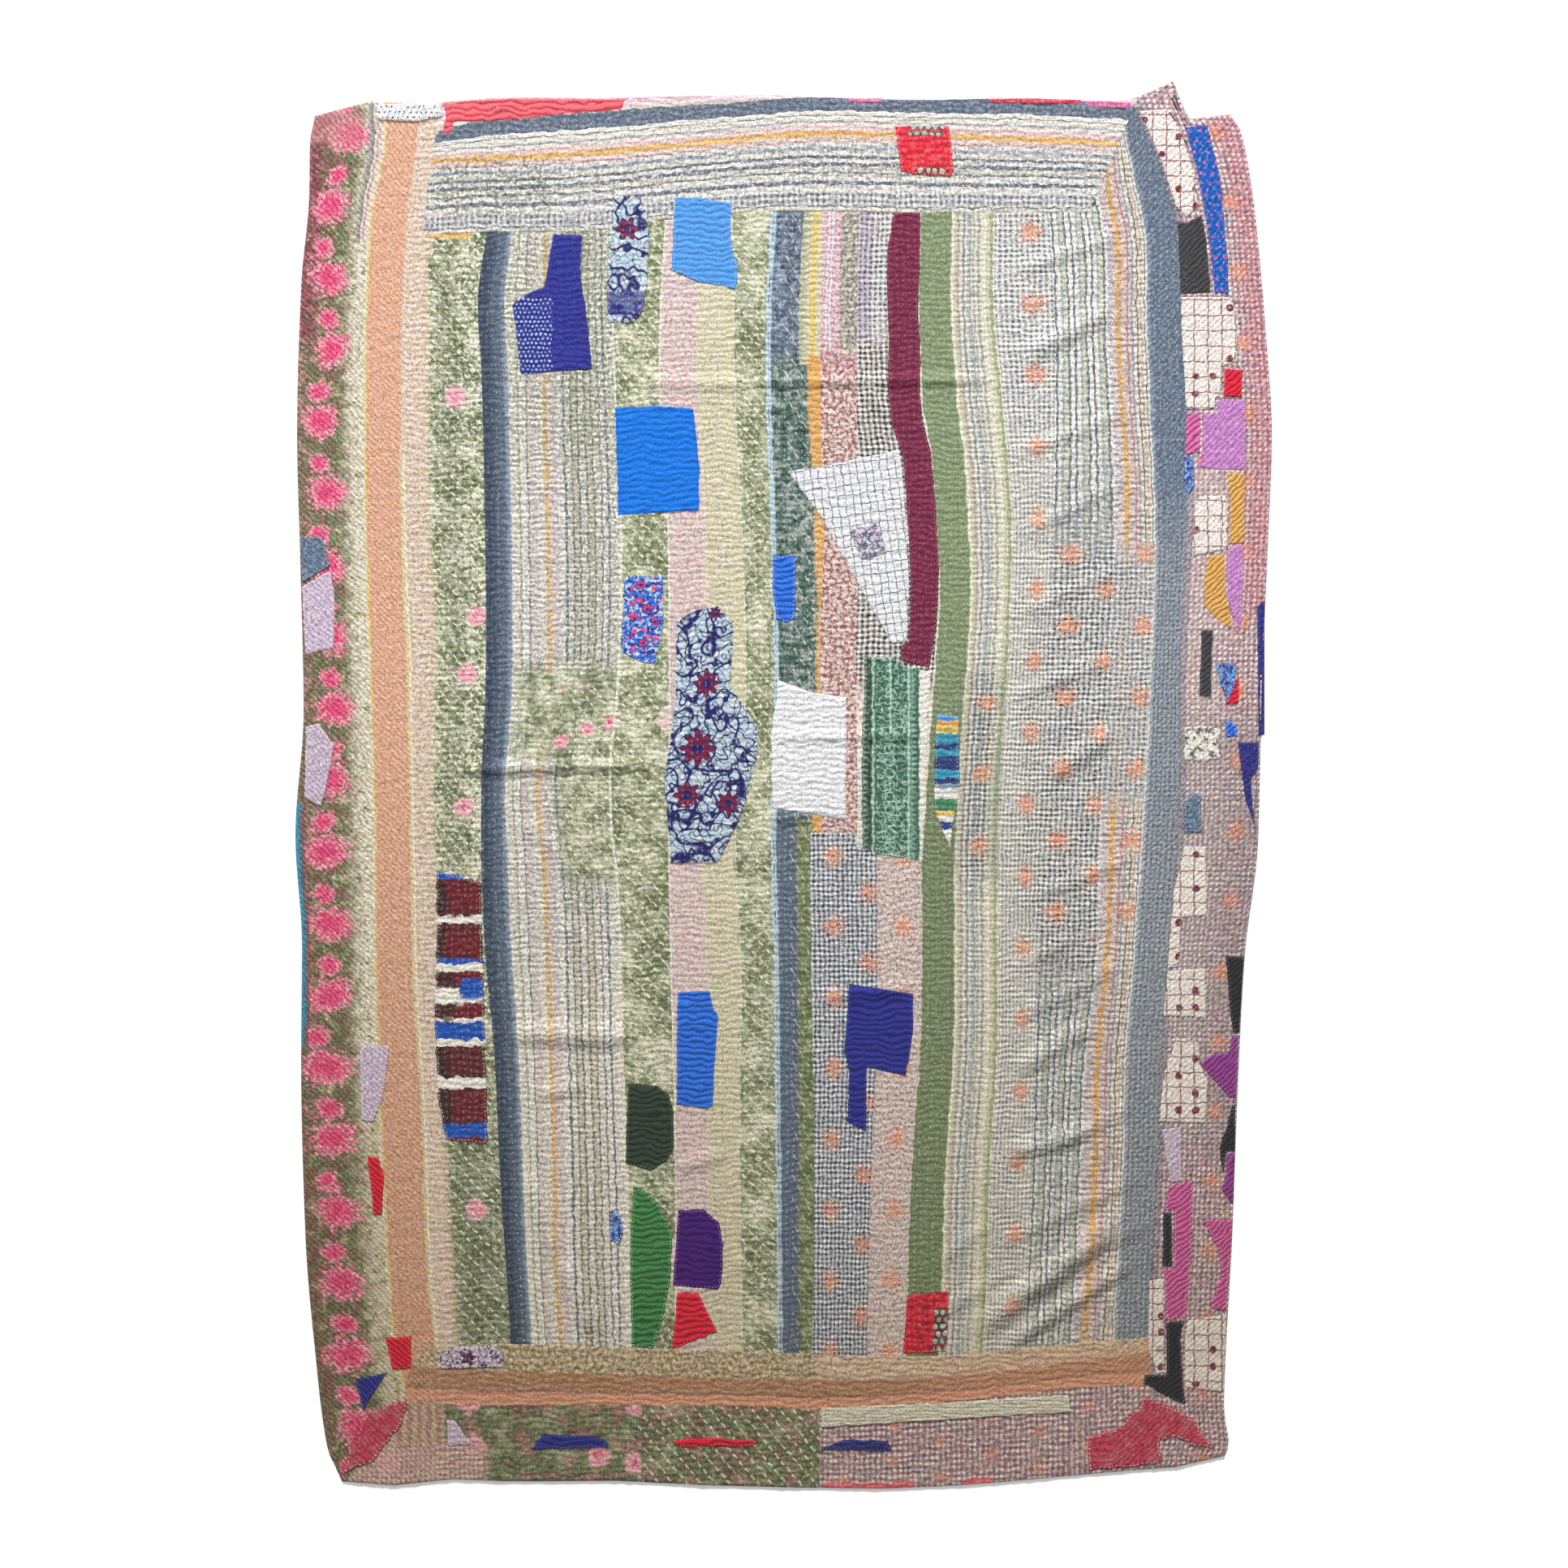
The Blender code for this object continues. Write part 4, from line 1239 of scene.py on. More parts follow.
@dataclass(frozen=True)
class Strip:
    """A strip of face cloth between two lines, from one line to another."""

    name: str
    cloth: Cloth
    slot: str
    run: Run
    low: Line | Side
    high: Line | Side
    start: Line | Side
    end: Line | Side
    lap: float = 0.0003
    under_low: float = 4.0
    under_high: float = 4.0
    step_along: float = 1.9
    step_across: float = 4.00
    turned: float = 1.6

    def points(self) -> tuple[Points, Points, int, int]:
        """The strip's points as pixels, with the numbers of its columns and rows."""
        low, high = self.low.moved(-self.under_low), self.high.moved(self.under_high)
        middle = float(np.mean([self.start.at(low.at(np.array([900.0])))[0],
            self.end.at(low.at(np.array([900.0])))[0]]))
        wide = float(np.mean(high.at(np.array([middle])) - low.at(np.array([middle]))))
        long = float(np.mean(self.end.at(low.at(np.array([middle]))) - self.start.at(low.at(np.array([middle])))))
        steps = (self.step_across, self.step_along) if self.run is Run.DOWN else (self.step_along,
            self.step_across)
        u, v = np.meshgrid(shares(max(12.0, wide), steps[0]), shares(long, steps[1]))
        along = np.full(u.shape, middle)
        for _ in range(6):
            across = low.at(along) * (1 - u) + high.at(along) * u
            along = self.start.at(across) * (1 - v) + self.end.at(across) * v
        px, py = (across, along) if self.run is Run.DOWN else (along, across)
        return px.ravel(), py.ravel(), u.shape[1], u.shape[0]

    def build(self) -> Piece:
        px, py, columns, rows = self.points()
        index = np.arange(columns * rows).reshape(rows, columns)
        faces = np.stack([index[1:, :-1], index[1:, 1:], index[:-1, 1:], index[:-1, :-1]],
            axis=-1).reshape(-1, 4)
        if self.run is not Run.DOWN:
            faces = faces[:, ::-1]
        u, v = np.meshgrid(np.arange(columns) / (columns - 1), np.arange(rows) / (rows - 1))
        grid_px, grid_py = px.reshape(rows, columns), py.reshape(rows, columns)
        aside = np.hypot(grid_px - grid_px[:, :1], grid_py - grid_py[:, :1])
        other = np.hypot(grid_px - grid_px[:, -1:], grid_py - grid_py[:, -1:])
        turned = np.clip(np.minimum(aside, other) / self.turned, 0, 1)
        lap = STRIP_LAP * self.lap * np.sqrt(1 - (1 - turned) ** 2).ravel()
        piece = Piece(self.name, px, py, RELIEF.height(px, py, lap), faces)
        piece.map(self.run.place(px, py), np.stack([u.ravel(), 1 - v.ravel()], axis=1))
        piece.dress(self.cloth.material(), ["quilt_body"])
        return piece


STRIP_LAP = 0.6


def inside_outline(px: Points, py: Points, outline: Points) -> Points:
    """Whether places lie inside an outline, all in pixels."""
    inside = np.zeros(np.shape(px), bool)
    for (ax, ay), (bx, by) in zip(outline, np.roll(outline, -1, axis=0)):
        if ay != by:
            crosses = (ay > py) != (by > py)
            inside ^= crosses & (px < (bx - ax) * (py - ay) / (by - ay) + ax)
    return inside


def outline_distance(px: Points, py: Points, outline: Points) -> Points:
    """How far places are from an outline, in pixels."""
    nearest = np.full(np.shape(px), np.inf)
    for (ax, ay), (bx, by) in zip(outline, np.roll(outline, -1, axis=0)):
        length = max((bx - ax) ** 2 + (by - ay) ** 2, 1e-9)
        share = np.clip(((px - ax) * (bx - ax) + (py - ay) * (by - ay)) / length, 0, 1)
        nearest = np.minimum(nearest, np.hypot(px - ax - share * (bx - ax), py - ay - share * (by - ay)))
    return nearest


def walked(outline: Points, step: float) -> Points:
    """Points at even steps round an outline, its corners kept."""
    places = []
    for start, end in zip(outline, np.roll(outline, -1, axis=0)):
        count = max(1, round(float(np.hypot(*(end - start))) / step))
        places.append(start + (end - start) * (np.arange(count) / count)[:, None])
    return np.concatenate(places)


@dataclass(frozen=True)
class Patch:
    """A patch sewn on the face: its outline is a CAD node's, or its own corners in pixels."""

    name: str
    cloth: Cloth
    slot: str
    node: str = ""
    corners: tuple[tuple[float, float], ...] = ()
    level: int = 1
    turn: float = 0.0
    run: Run = Run.FREE
    thread: Dye = Dye.ECRU
    ragged: float = 0.7
    crumple: float = 0.0
    step_across: float = 3.6
    step_along: float = 1.9

    def outline(self) -> Points:
        """The patch's outline in pixels, a little uneven, as hand-cut cloth is."""
        corners = LAYOUT.rim(self.node) if self.node else np.array(self.corners, float)
        edge = walked(corners, 2.4)
        wobble = [value_noise(edge[:, 0] / 7, edge[:, 1] / 7, seed) * self.ragged for seed in (21, 22)]
        inside = np.clip(LAYOUT.inset(edge[:, 0], edge[:, 1]) / 6, 0, 1)
        return edge + np.stack(wobble, axis=1) * inside[:, None]

    def points(self, edge: Points) -> tuple[Points, Points]:
        """The patch's points and triangles, closer together at its turned edge.

        Args:
            edge: The outline's points.

        Returns:
            The points in pixels, and the triangles.
        """
        low, high = edge.min(axis=0), edge.max(axis=0)
        across, along = np.meshgrid(np.arange(low[0], high[0], self.step_across),
                                    np.arange(low[1], high[1], self.step_along))
        px, py = across.ravel(), along.ravel()
        kept = inside_outline(px, py, edge)
        px, py = px[kept], py[kept]
        keep = outline_distance(px, py, edge) > 1.9
        ahead = np.roll(edge, -1, axis=0) - np.roll(edge, 1, axis=0)
        inward = np.stack([-ahead[:, 1], ahead[:, 0]], axis=1) / np.maximum(np.hypot(*ahead.T), 1e-9)[:,
            None]
        ring = edge + inward * 0.9
        if not inside_outline(ring[:, 0], ring[:, 1], edge).sum() > len(ring) / 2:
            ring = edge - inward * 0.9
        sound = inside_outline(ring[:, 0], ring[:, 1],
            edge) & (outline_distance(ring[:, 0], ring[:, 1], edge) > 0.6)
        places = np.concatenate([edge, ring[sound], np.stack([px[keep], py[keep]], axis=1)])
        rim = list(range(len(edge)))
        made = delaunay_2d_cdt([Vector(place) for place in places], [], [rim], 1, 1e-5)
        return np.array([vert[:] for vert in made[0]]), np.array([face for face in made[2] if len(face) == 3])

    def build(self) -> Piece:
        edge = self.outline()
        places, faces = self.points(edge)
        px, py = places[:, 0], places[:, 1]
        a, b, c = (places[faces[:, k]] for k in range(3))
        spans = (b[:, 0] - a[:, 0]) * (c[:, 1] - a[:, 1]) - (b[:, 1] - a[:, 1]) * (c[:, 0] - a[:, 0])
        faces = np.where((spans > 0)[:, None], faces[:, ::-1], faces)
        rounded = np.clip(outline_distance(px, py, edge) / 1.5, 0, 1)
        lap = PATCH_LAP * (self.level - 1) + PATCH_LAP * np.sqrt(1 - (1 - rounded) ** 2) + PATCH_BASE
        if self.crumple:
            lap = lap + self.crumple * (1 - np.abs(value_noise(px / 9, py / 6, 51)) ** 0.6) * rounded
        piece = Piece(self.name, px, py, RELIEF.height(px, py, lap), faces)
        low, high = places.min(axis=0), places.max(axis=0)
        cloth = self.run.place(px, py)
        if self.turn:
            middle, angle = (low + high) / 2, math.radians(self.turn)
            x, y = (cloth - middle).T
            cloth = middle + np.stack([x * math.cos(angle) + y * math.sin(angle),
                                       y * math.cos(angle) - x * math.sin(angle)], axis=1)
        piece.map(cloth, (places - low) / (high - low))
        piece.dress(self.cloth.material(), [self.node] if self.node else [])
        return piece


PATCH_LAP = 0.0007
PATCH_BASE = 0.0005


class Back:
    """The quilt's back: one large worn cotton cloth, puckered by the same stitches."""

    step_down = 3.75
    columns = 64
    head, foot = 120, 1834  # in pixels down the photo
    first_row, spread = 140, 1680
    settlings = 6

    def build(self, cloth: Cloth) -> Piece:
        """Args:
            cloth: The back's finish.

        Returns:
            The back.
        """
        rows = round((self.foot - self.head) / self.step_down)
        u, v = np.meshgrid(np.linspace(0, 1, self.columns), np.linspace(0, 1, rows))
        px = np.full(u.shape, 960.0)
        py = self.first_row + v * self.spread
        for _ in range(self.settlings):
            py = HEAD.at(px) * (1 - v) + FOOT.at(px) * v
            px = LEFT.at(py) * (1 - u) + RIGHT.at(py) * u
        px, py = px.ravel(), py.ravel()
        x, y = LAYOUT.metres(px, py)
        inside = np.clip(LAYOUT.inset(px, py) / RELIEF.rim, 0, 1)
        crest = np.abs(np.sin(np.pi * RELIEF.ridge(px, py)))
        z = UNDERSIDE * (1 - inside) + (0.0001 + 0.0006 * (1 - crest) + 0.6 * RELIEF.folds(x, y)) * inside
        index = np.arange(u.size).reshape(u.shape)
        faces = np.stack([index[:-1, :-1], index[:-1, 1:], index[1:, 1:], index[1:, :-1]],
            axis=-1).reshape(-1, 4)
        piece = Piece("quilt_back", px, py, z, faces)
        piece.map(Run.FREE.place(px, py), np.stack([u.ravel(), 1 - v.ravel()], axis=1))
        piece.dress(cloth.material(), ["quilt_body"])
        return piece


class Needlework:
    """Short stitches of one thread, as one mesh of rice-shaped grains lying on the cloth."""

    def __init__(self, name: str, dye: Dye) -> None:
        """Starts an empty set of stitches.

        Args:
            name: The piece's name.
            dye: The thread's dye.
        """
        self.name, self.dye = name, dye
        self.starts: list[Points] = []
        self.ends: list[Points] = []
        self.lifts: list[Points] = []

    def sew(self, start: Points, end: Points, lap: float) -> None:
        """Adds stitches between points in pixels, on cloth that lies a little above the face."""
        self.starts.append(start)
        self.ends.append(end)
        self.lifts.append(np.full(len(start), lap))

    def rows(self, low: Line | Side, high: Line | Side, head: float, foot: float, pitch: float,
        every: float) -> None:
        """Adds running stitches in rows down the quilt between two lines.

        Args:
            low: The line on the left.
            high: The line on the right.
            head: Where the rows start, in pixels down.
            foot: Where they end.
            pitch: From one row to the next.
            every: From one stitch to the next.
        """
        down = np.arange(head, foot, every)
        width = float(np.mean(high.at(down) - low.at(down)))
        for column in range(max(1, round(width / pitch))):
            py = down + (column % 2) * every / 2
            px = low.at(py) + (column + 0.5) * pitch + value_noise(py / 40, py * 0 + column, 31) * 1.2
            px, py = px[px < high.at(py) - 1], py[px < high.at(py) - 1]
            self.sew(np.stack([px, py], axis=1), np.stack([px + 0.3, py + STITCH], axis=1), 0.0003)

    def round_patch(self, edge: Points, level: int) -> None:
        """Adds a running stitch just inside a patch's edge."""
        walk = walked(edge, 3.0)[::2]
        ahead = np.roll(walk, -1, axis=0) - walk
        ahead /= np.maximum(np.hypot(*ahead.T), 1e-9)[:, None]
        inward = np.stack([-ahead[:, 1], ahead[:, 0]], axis=1)
        start = walk + inward * EDGE_INSET
        if inside_outline(start[:, 0], start[:, 1], edge).mean() < 0.5:
            start = walk - inward * EDGE_INSET
        kept = inside_outline(start[:, 0], start[:, 1],
            edge) & (LAYOUT.inset(start[:, 0], start[:, 1]) > 4)
        self.sew(start[kept], (start + ahead * STITCH)[kept], PATCH_LAP * level + PATCH_BASE)

    def build(self) -> None:
        """Makes the stitches and dresses them."""
        if not self.starts:
            return
        start, end, lift = (np.concatenate(kept) for kept in (self.starts, self.ends, self.lifts))
        ahead = end - start
        aside = np.stack([-ahead[:, 1], ahead[:, 0]], axis=1) / np.hypot(*ahead.T)[:, None] * THREAD
        middle = (start + end) / 2
        places = np.stack([start, middle + aside, middle - aside, middle, end], axis=1)
        rises = np.array([0.0, 0.00015, 0.00015, 0.00055, 0.0])
        heights = RELIEF.height(places[..., 0].ravel(), places[..., 1].ravel(),
            np.repeat(lift, 5)).reshape(-1, 5)
        z = (heights + rises).ravel()
        pattern = np.array([[0, 1, 3], [1, 4, 3], [4, 2, 3], [2, 0, 3], [1, 0, 2], [1, 2, 4]])
        faces = (np.arange(len(start))[:, None, None] * 5 + pattern[None]).reshape(-1, 3)
        flat = places.reshape(-1, 2)
        piece = Piece(self.name, flat[:, 0], flat[:, 1], z, faces)
        piece.object.data.materials.append(thread_material(self.name, self.dye))
        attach(piece.object, "root")
        LOG.info("%s: %d stitches", self.name, len(start))


STITCH = 3.2  # a stitch's length in pixels
THREAD = 0.42  # half a thread's width in pixels
EDGE_INSET = 1.9


def thread_material(name: str, dye: Dye) -> bpy.types.Material:
    """A soft cotton thread, its twist in the bump."""
    tree = ClothTree(name)
    twist = tree.tree.nodes.new("ShaderNodeTexNoise")
    twist.inputs["Scale"].default_value = 900.0
    bump = tree.tree.nodes.new("ShaderNodeBump")
    bump.inputs["Strength"].default_value = 0.4
    bump.inputs["Distance"].default_value = 0.0003
    tree.put(bump.inputs["Height"], twist.outputs[0])
    shader = tree.tree.nodes.new("ShaderNodeBsdfPrincipled")
    shader.inputs["Base Color"].default_value = dye.rgba
    shader.inputs["Roughness"].default_value = 0.8
    tree.put(shader.inputs["Normal"], bump.outputs[0])
    out = tree.tree.nodes.new("ShaderNodeOutputMaterial")
    tree.put(out.inputs[0], shader.outputs[0])
    return tree.material


# The face cloths

THICKET = Blotches(((0.36, Dye.DEEP_OLIVE), (0.44, Dye.OLIVE), (0.50, Dye.SAGE), (0.56, Dye.CELERY),
    (0.63, Dye.ECRU)), roughness=0.84)

ROSE_CLOTH = Cloth("rose_border_cotton", (
    Layer(Blotches(((0.34, Dye.OLIVE), (0.44, Dye.SAND), (0.54, Dye.CELERY), (0.64, Dye.BLUSH)),
        size=10, detail=3)),
    Layer(Flecks(Dye.IVORY, 5, 0.46, 0.05, 12), low=424, foot=1300, soft=12, strength=0.8),
    Layer(Blotches(((0.42, Dye.BROWN), (0.50, Dye.DEEP_OLIVE), (0.58, Dye.OLIVE), (0.68, Dye.SAND)),
        size=16, seed=3),
          high=430, soft=14, ragged=18),
    Layer(Blotches(((0.38, Dye.BROWN), (0.47, Dye.MAROON), (0.56, Dye.RUST), (0.68, Dye.RUST_PINK)),
        size=15, seed=4),
          high=392, foot=430, soft=10, ragged=18, strength=0.9),
    Layer(Blotches(((0.40, Dye.BROWN), (0.50, Dye.DEEP_OLIVE), (0.60, Dye.RUST_PINK)), size=13, seed=5),
          high=390, head=420, foot=1420, soft=10, ragged=18, strength=0.9),
    Layer(RoseRow(across=404, down=255, pitch=88.3, radius=22)),
    Layer(RoseRow(across=400, down=218, pitch=88.3, radius=13)),
    Layer(SmallCheck(Dye.RUST, pitch=6.4, strength=0.7), high=384, head=1400, soft=5, ragged=6),
    Layer(Plain(Dye.RUST_PINK), head=0, foot=178, high=424, soft=10, ragged=12, strength=0.6),
    Layer(Stripes(368, ((372, Dye.RUST), (376, Dye.TURQUOISE), (379, Dye.SLATE), (381.5, Dye.RUST))),
          high=381, head=990, foot=1290, soft=1.5, ragged=2),
    Layer(Stripes(438, ((441, Dye.GREY), (444, Dye.BLUSH), (446, Dye.RUST_PINK), (452, Dye.BLUSH))),
          low=436, foot=300, soft=3, ragged=4, strength=0.8),
), furrow_shade=0.49, wear_and_highlight=0.1)

PEACH_CLOTH = Cloth("peach_border_cotton", (
    Layer(Plain(Dye.PEACH, 0.1)),
    Layer(Flecks(Dye.SAND, 3, 0.45, 0.1), strength=0.5),
    Layer(Plain(Dye.BROWN_PEACH, 0.1), low=452, high=496, head=1100, soft=300, strength=0.75),
    Layer(Grid(Dye.BROWN_PEACH, 9, 4000, 0.9), low=458, high=494, head=500, soft=60, strength=0.4),
    Layer(Stripes(440, ((451, Dye.ECRU), (453, Dye.PALE_YELLOW), (454.5, Dye.YELLOW),
        (456, Dye.PEACH))), high=455.5),
    Layer(Plain(Dye.SAND), low=496),
    Layer(Flecks(Dye.BLUSH, 7, 0.5, 0.08, 2), low=496),
    Layer(Flecks(Dye.OLIVE, 5, 0.34, 0.08, 6), low=498, head=560, foot=1300, soft=20, ragged=20,
        strength=0.8),
    Layer(Flecks(Dye.BROWN_PEACH, 5, 0.36, 0.06, 5), low=496, strength=0.6),
    Layer(Stripes(494, ((496, Dye.PALE_YELLOW), (497.5, Dye.YELLOW), (500, Dye.ECRU))), low=494,
        high=500, head=560),
    Layer(Dashes(Dye.ECRU, pitch=5, length=7, width=0.6), strength=0.35),
), furrow_shade=0.29)

THICKET_CLOTH = Cloth("green_thicket_cotton", (
    Layer(THICKET),
    Layer(Flecks(Dye.DEEP_OLIVE, 6, 0.40, 0.03, 2), strength=0.85),
    Layer(Flecks(Dye.ECRU, 6, 0.40, 0.03, 7), strength=0.85),
    Layer(Plain(Dye.DEEP_OLIVE), head=1340, soft=260, strength=0.6),
    # painted shadow: a dark olive stripe down the cloth near its left seam
    Layer(Plain(Dye.DEEP_OLIVE), low=540, high=566, head=300, soft=14, ragged=16, strength=0.45),
    Layer(Blossoms(spacing=70, radius=12, share=0.3), ragged=0),
    Layer(Plain(Dye.SAND), high=531, soft=3, ragged=5, strength=0.8),
    Layer(Dashes()),
    Layer(Plain(Dye.ORANGE), head=284, foot=294, high=575, soft=1.5, ragged=2),
), furrow_shade=0.49)

SLATE_CLOTH = Cloth("slate_band_cotton", (
    Layer(Plain(Dye.DARK_SLATE)),
    Layer(Plain(Dye.SLATE), low=606, soft=9),
    Layer(Plain(Dye.PALE_SLATE), low=621, soft=5, ragged=3),
    Layer(Flecks(Dye.BLACK, 5, 0.36, 0.08), low=600, strength=0.45),
    Layer(Plain(Dye.ECRU), low=625.5, soft=1),
), thread=Dye.PALE_SLATE, thread_shows=0.5, wear_and_highlight=0.07)

MULTI_STRIPES = (
    (635, Dye.ECRU), (637.5, Dye.SAGE), (646, Dye.IVORY), (648, Dye.GREY), (656, Dye.BLUSH),
    (658, Dye.PALE_LILAC), (668, Dye.ECRU), (673.5, Dye.ORANGE), (682, Dye.BLUSH),
        (684.5, Dye.PALE_LILAC),
    (692, Dye.IVORY), (695, Dye.SLATE), (701, Dye.ECRU), (703.5, Dye.GREY), (709, Dye.PALE_YELLOW),
    (711.5, Dye.SLATE), (718, Dye.ECRU), (720.5, Dye.GREY), (726, Dye.PALE_YELLOW), (728.5, Dye.SLATE),
    (735, Dye.ECRU), (737.5, Dye.GREY), (743, Dye.IVORY), (745.5, Dye.SLATE), (752, Dye.ECRU),
    (765, Dye.IVORY),
)
MULTI_CLOTH = Cloth("striped_sari_cotton", (
    Layer(Stripes(630, MULTI_STRIPES)),
    Layer(Weft(Dye.GREY, 7, 0.6), foot=1190, soft=40, ragged=20),
    Layer(Weft(Dye.IVORY, 6, 0.5), ragged=4),
    Layer(Flecks(Dye.GREY, 4, 0.44, 0.08, 12), strength=0.5),
    Layer(Flecks(Dye.OLIVE, 4.4, 0.44, 0.08, 14), foot=560, soft=60, strength=0.7),
    Layer(Flecks(Dye.DEEP_OLIVE, 4.5, 0.42, 0.07), low=690, foot=1120, soft=14, ragged=18, strength=0.55),
    Layer(THICKET, head=822, foot=938, soft=14, ragged=34, low=636, strength=0.9),
    Layer(THICKET, head=935, foot=1085, soft=12, ragged=30, low=694, strength=0.85),
    Layer(Blossoms(spacing=34, radius=9, share=0.45), head=850, foot=925, soft=10),
    Layer(Dashes(), low=700, head=840, foot=1080, soft=8),
), furrow_shade=0.43)

OLIVE_CLOTH = Cloth("olive_dash_cotton", (
    Layer(Blotches(((0.33, Dye.DEEP_OLIVE), (0.43, Dye.OLIVE), (0.51, Dye.SAGE), (0.58, Dye.CELERY),
        (0.66, Dye.ECRU)), size=52,
                   detail=6, roughness=0.8, seed=5)),
    Layer(Flecks(Dye.ECRU, 6, 0.38, 0.03, 7), strength=0.6),
    Layer(Flecks(Dye.DEEP_OLIVE, 6, 0.34, 0.03, 2), strength=0.6),
    Layer(Blossoms(spacing=80, radius=18, share=0.4, core=Dye.PALE_ROSE, rim=Dye.BLUSH, seed=4)),
    Layer(Plain(Dye.ECRU), high=759.5, soft=0.8, ragged=1),
    Layer(Dashes()),
), furrow_shade=0.46)

PINK_YELLOW_CLOTH = Cloth("pink_and_yellow_cotton", (
    Layer(Plain(Dye.BLUSH)),
    Layer(Flecks(Dye.RUST_PINK, 5, 0.42, 0.1), high=860, strength=0.6),
    Layer(Flecks(Dye.LILAC, 7, 0.40, 0.1, 21), high=860, strength=0.5),
    Layer(Flecks(Dye.OLIVE, 3.6, 0.34, 0.06, 7), head=390, strength=0.5),
    Layer(Plain(Dye.PALE_YELLOW), low=862, soft=3, ragged=3),
    Layer(Flecks(Dye.BLUSH, 9, 0.4, 0.1, 4), low=868, high=892, soft=4),
    Layer(Flecks(Dye.OLIVE, 4, 0.36, 0.06, 9), low=866, high=890, head=420, soft=4, strength=0.55),
    Layer(Plain(Dye.ECRU), high=816, soft=0.8),
    Layer(THICKET, low=905, soft=1),
), furrow_shade=0.38)

SECOND_OLIVE_CLOTH = Cloth("second_olive_dash_cotton", (
    Layer(Blotches(((0.33, Dye.DEEP_OLIVE), (0.43, Dye.OLIVE), (0.52, Dye.SAGE), (0.60, Dye.CELERY),
        (0.68, Dye.ECRU)), size=48,
                   detail=6, roughness=0.8, seed=6)),
    Layer(Flecks(Dye.ECRU, 6, 0.38, 0.03, 7), strength=0.6),
    Layer(Flecks(Dye.DEEP_OLIVE, 6, 0.34, 0.03, 2), strength=0.6),
    Layer(Plain(Dye.ECRU), high=907, soft=1, strength=0.7),
    Layer(Dashes()),
    Layer(Stripes(944, ((947.5, Dye.ICE_BLUE), (949, Dye.SLATE), (956, Dye.ICE_BLUE))), low=944.5,
        soft=0.8),
), furrow_shade=0.43)

SLATE_MID_CLOTH = Cloth("slate_and_chevron_cotton", (
    Layer(Plain(Dye.SLATE)),
    Layer(Blotches(((0.36, Dye.DARK_SLATE), (0.48, Dye.SLATE), (0.62, Dye.PALE_SLATE)), size=14),
        foot=440, soft=20),
    Layer(Blotches(((0.38, Dye.DARK_GREEN), (0.46, Dye.TEAL_GREEN), (0.52, Dye.SLATE), (0.58, Dye.SAGE),
        (0.66, Dye.PALE_SLATE)),
                   size=16, seed=2), head=440, foot=1000, soft=20, ragged=10),
    Layer(Blotches(((0.36, Dye.DEEP_OLIVE), (0.52, Dye.OLIVE), (0.66, Dye.SAGE)), size=22, seed=3),
          low=976, head=1010, soft=3, ragged=4),
    Layer(Dashes(Dye.ECRU, 15, 15, 0.7, 1.6), low=966, strength=0.7),
    Layer(Plain(Dye.ICE_BLUE), high=950.5, soft=1.4),
    Layer(Plain(Dye.PALE_YELLOW), low=986, foot=450, soft=1.4),
    Layer(Zigzag(987, Dye.SAGE, 9, 12), low=987, foot=450, strength=0.8),
    Layer(Plain(Dye.YELLOW), low=999, high=1006, foot=450, soft=1, strength=0.7),
    Layer(Plain(Dye.MUSTARD), low=996, head=440, foot=1026, soft=1.6, ragged=3),
    Layer(Flecks(Dye.ECRU, 5, 0.36), low=987, head=560, foot=1020, soft=2, strength=0.5),
), furrow_shade=0.43, thread_shows=0.5, wear_and_highlight=0.1)

SPECKLE_CLOTH = Cloth("speckled_cotton", (
    Layer(Plain(Dye.BLUSH)),
    Layer(Flecks(Dye.PINK, 4, 0.48, 0.08), foot=460, soft=16, strength=0.7),
    Layer(Flecks(Dye.GREY, 3.6, 0.32, 0.08, 15), strength=0.5),
    Layer(Flecks(Dye.RUST, 5, 0.49, 0.06), head=430, soft=20, strength=0.9),
    Layer(Stripes(1018, ((1021, Dye.IVORY), (1023.5, Dye.LILAC), (1026, Dye.IVORY),
        (1028.5, Dye.LILAC))), low=1019,
          high=1028, foot=430, soft=1, strength=0.7),
    Layer(Plain(Dye.GREY), low=1037, foot=430, soft=2, ragged=4, strength=0.8),
    Layer(Flecks(Dye.PALE_YELLOW, 5, 0.5), low=1037, foot=440, soft=2, strength=0.9),
    Layer(Flecks(Dye.DARK_SLATE, 4, 0.4, 0.06, 8), low=1037, foot=440, soft=2, strength=0.7),
), furrow_shade=0.38)

HOUNDSTOOTH_CLOTH = Cloth("grey_check_cotton", (
    Layer(Plain(Dye.IVORY)),
    Layer(Plain(Dye.LILAC), high=1076, foot=420, soft=5, ragged=4, strength=0.55),
    Layer(Flecks(Dye.LILAC, 5, 0.4), foot=440, strength=0.6),
    Layer(Flecks(Dye.CORAL, 7, 0.3), low=1074, foot=330, soft=4, strength=0.35),
    Layer(SmallCheck(Dye.DARK_SLATE, 6.6, strength=0.9), foot=420, soft=20),
    Layer(Plain(Dye.IVORY), head=425, soft=10),
    Layer(SmallCheck(Dye.BLACK, 6.6, 0.6, strength=1), head=420, foot=850, soft=20, ragged=6),
    Layer(Flecks(Dye.RUST_PINK, 5, 0.42), head=830, soft=12, strength=0.8),
), furrow_shade=0.29)

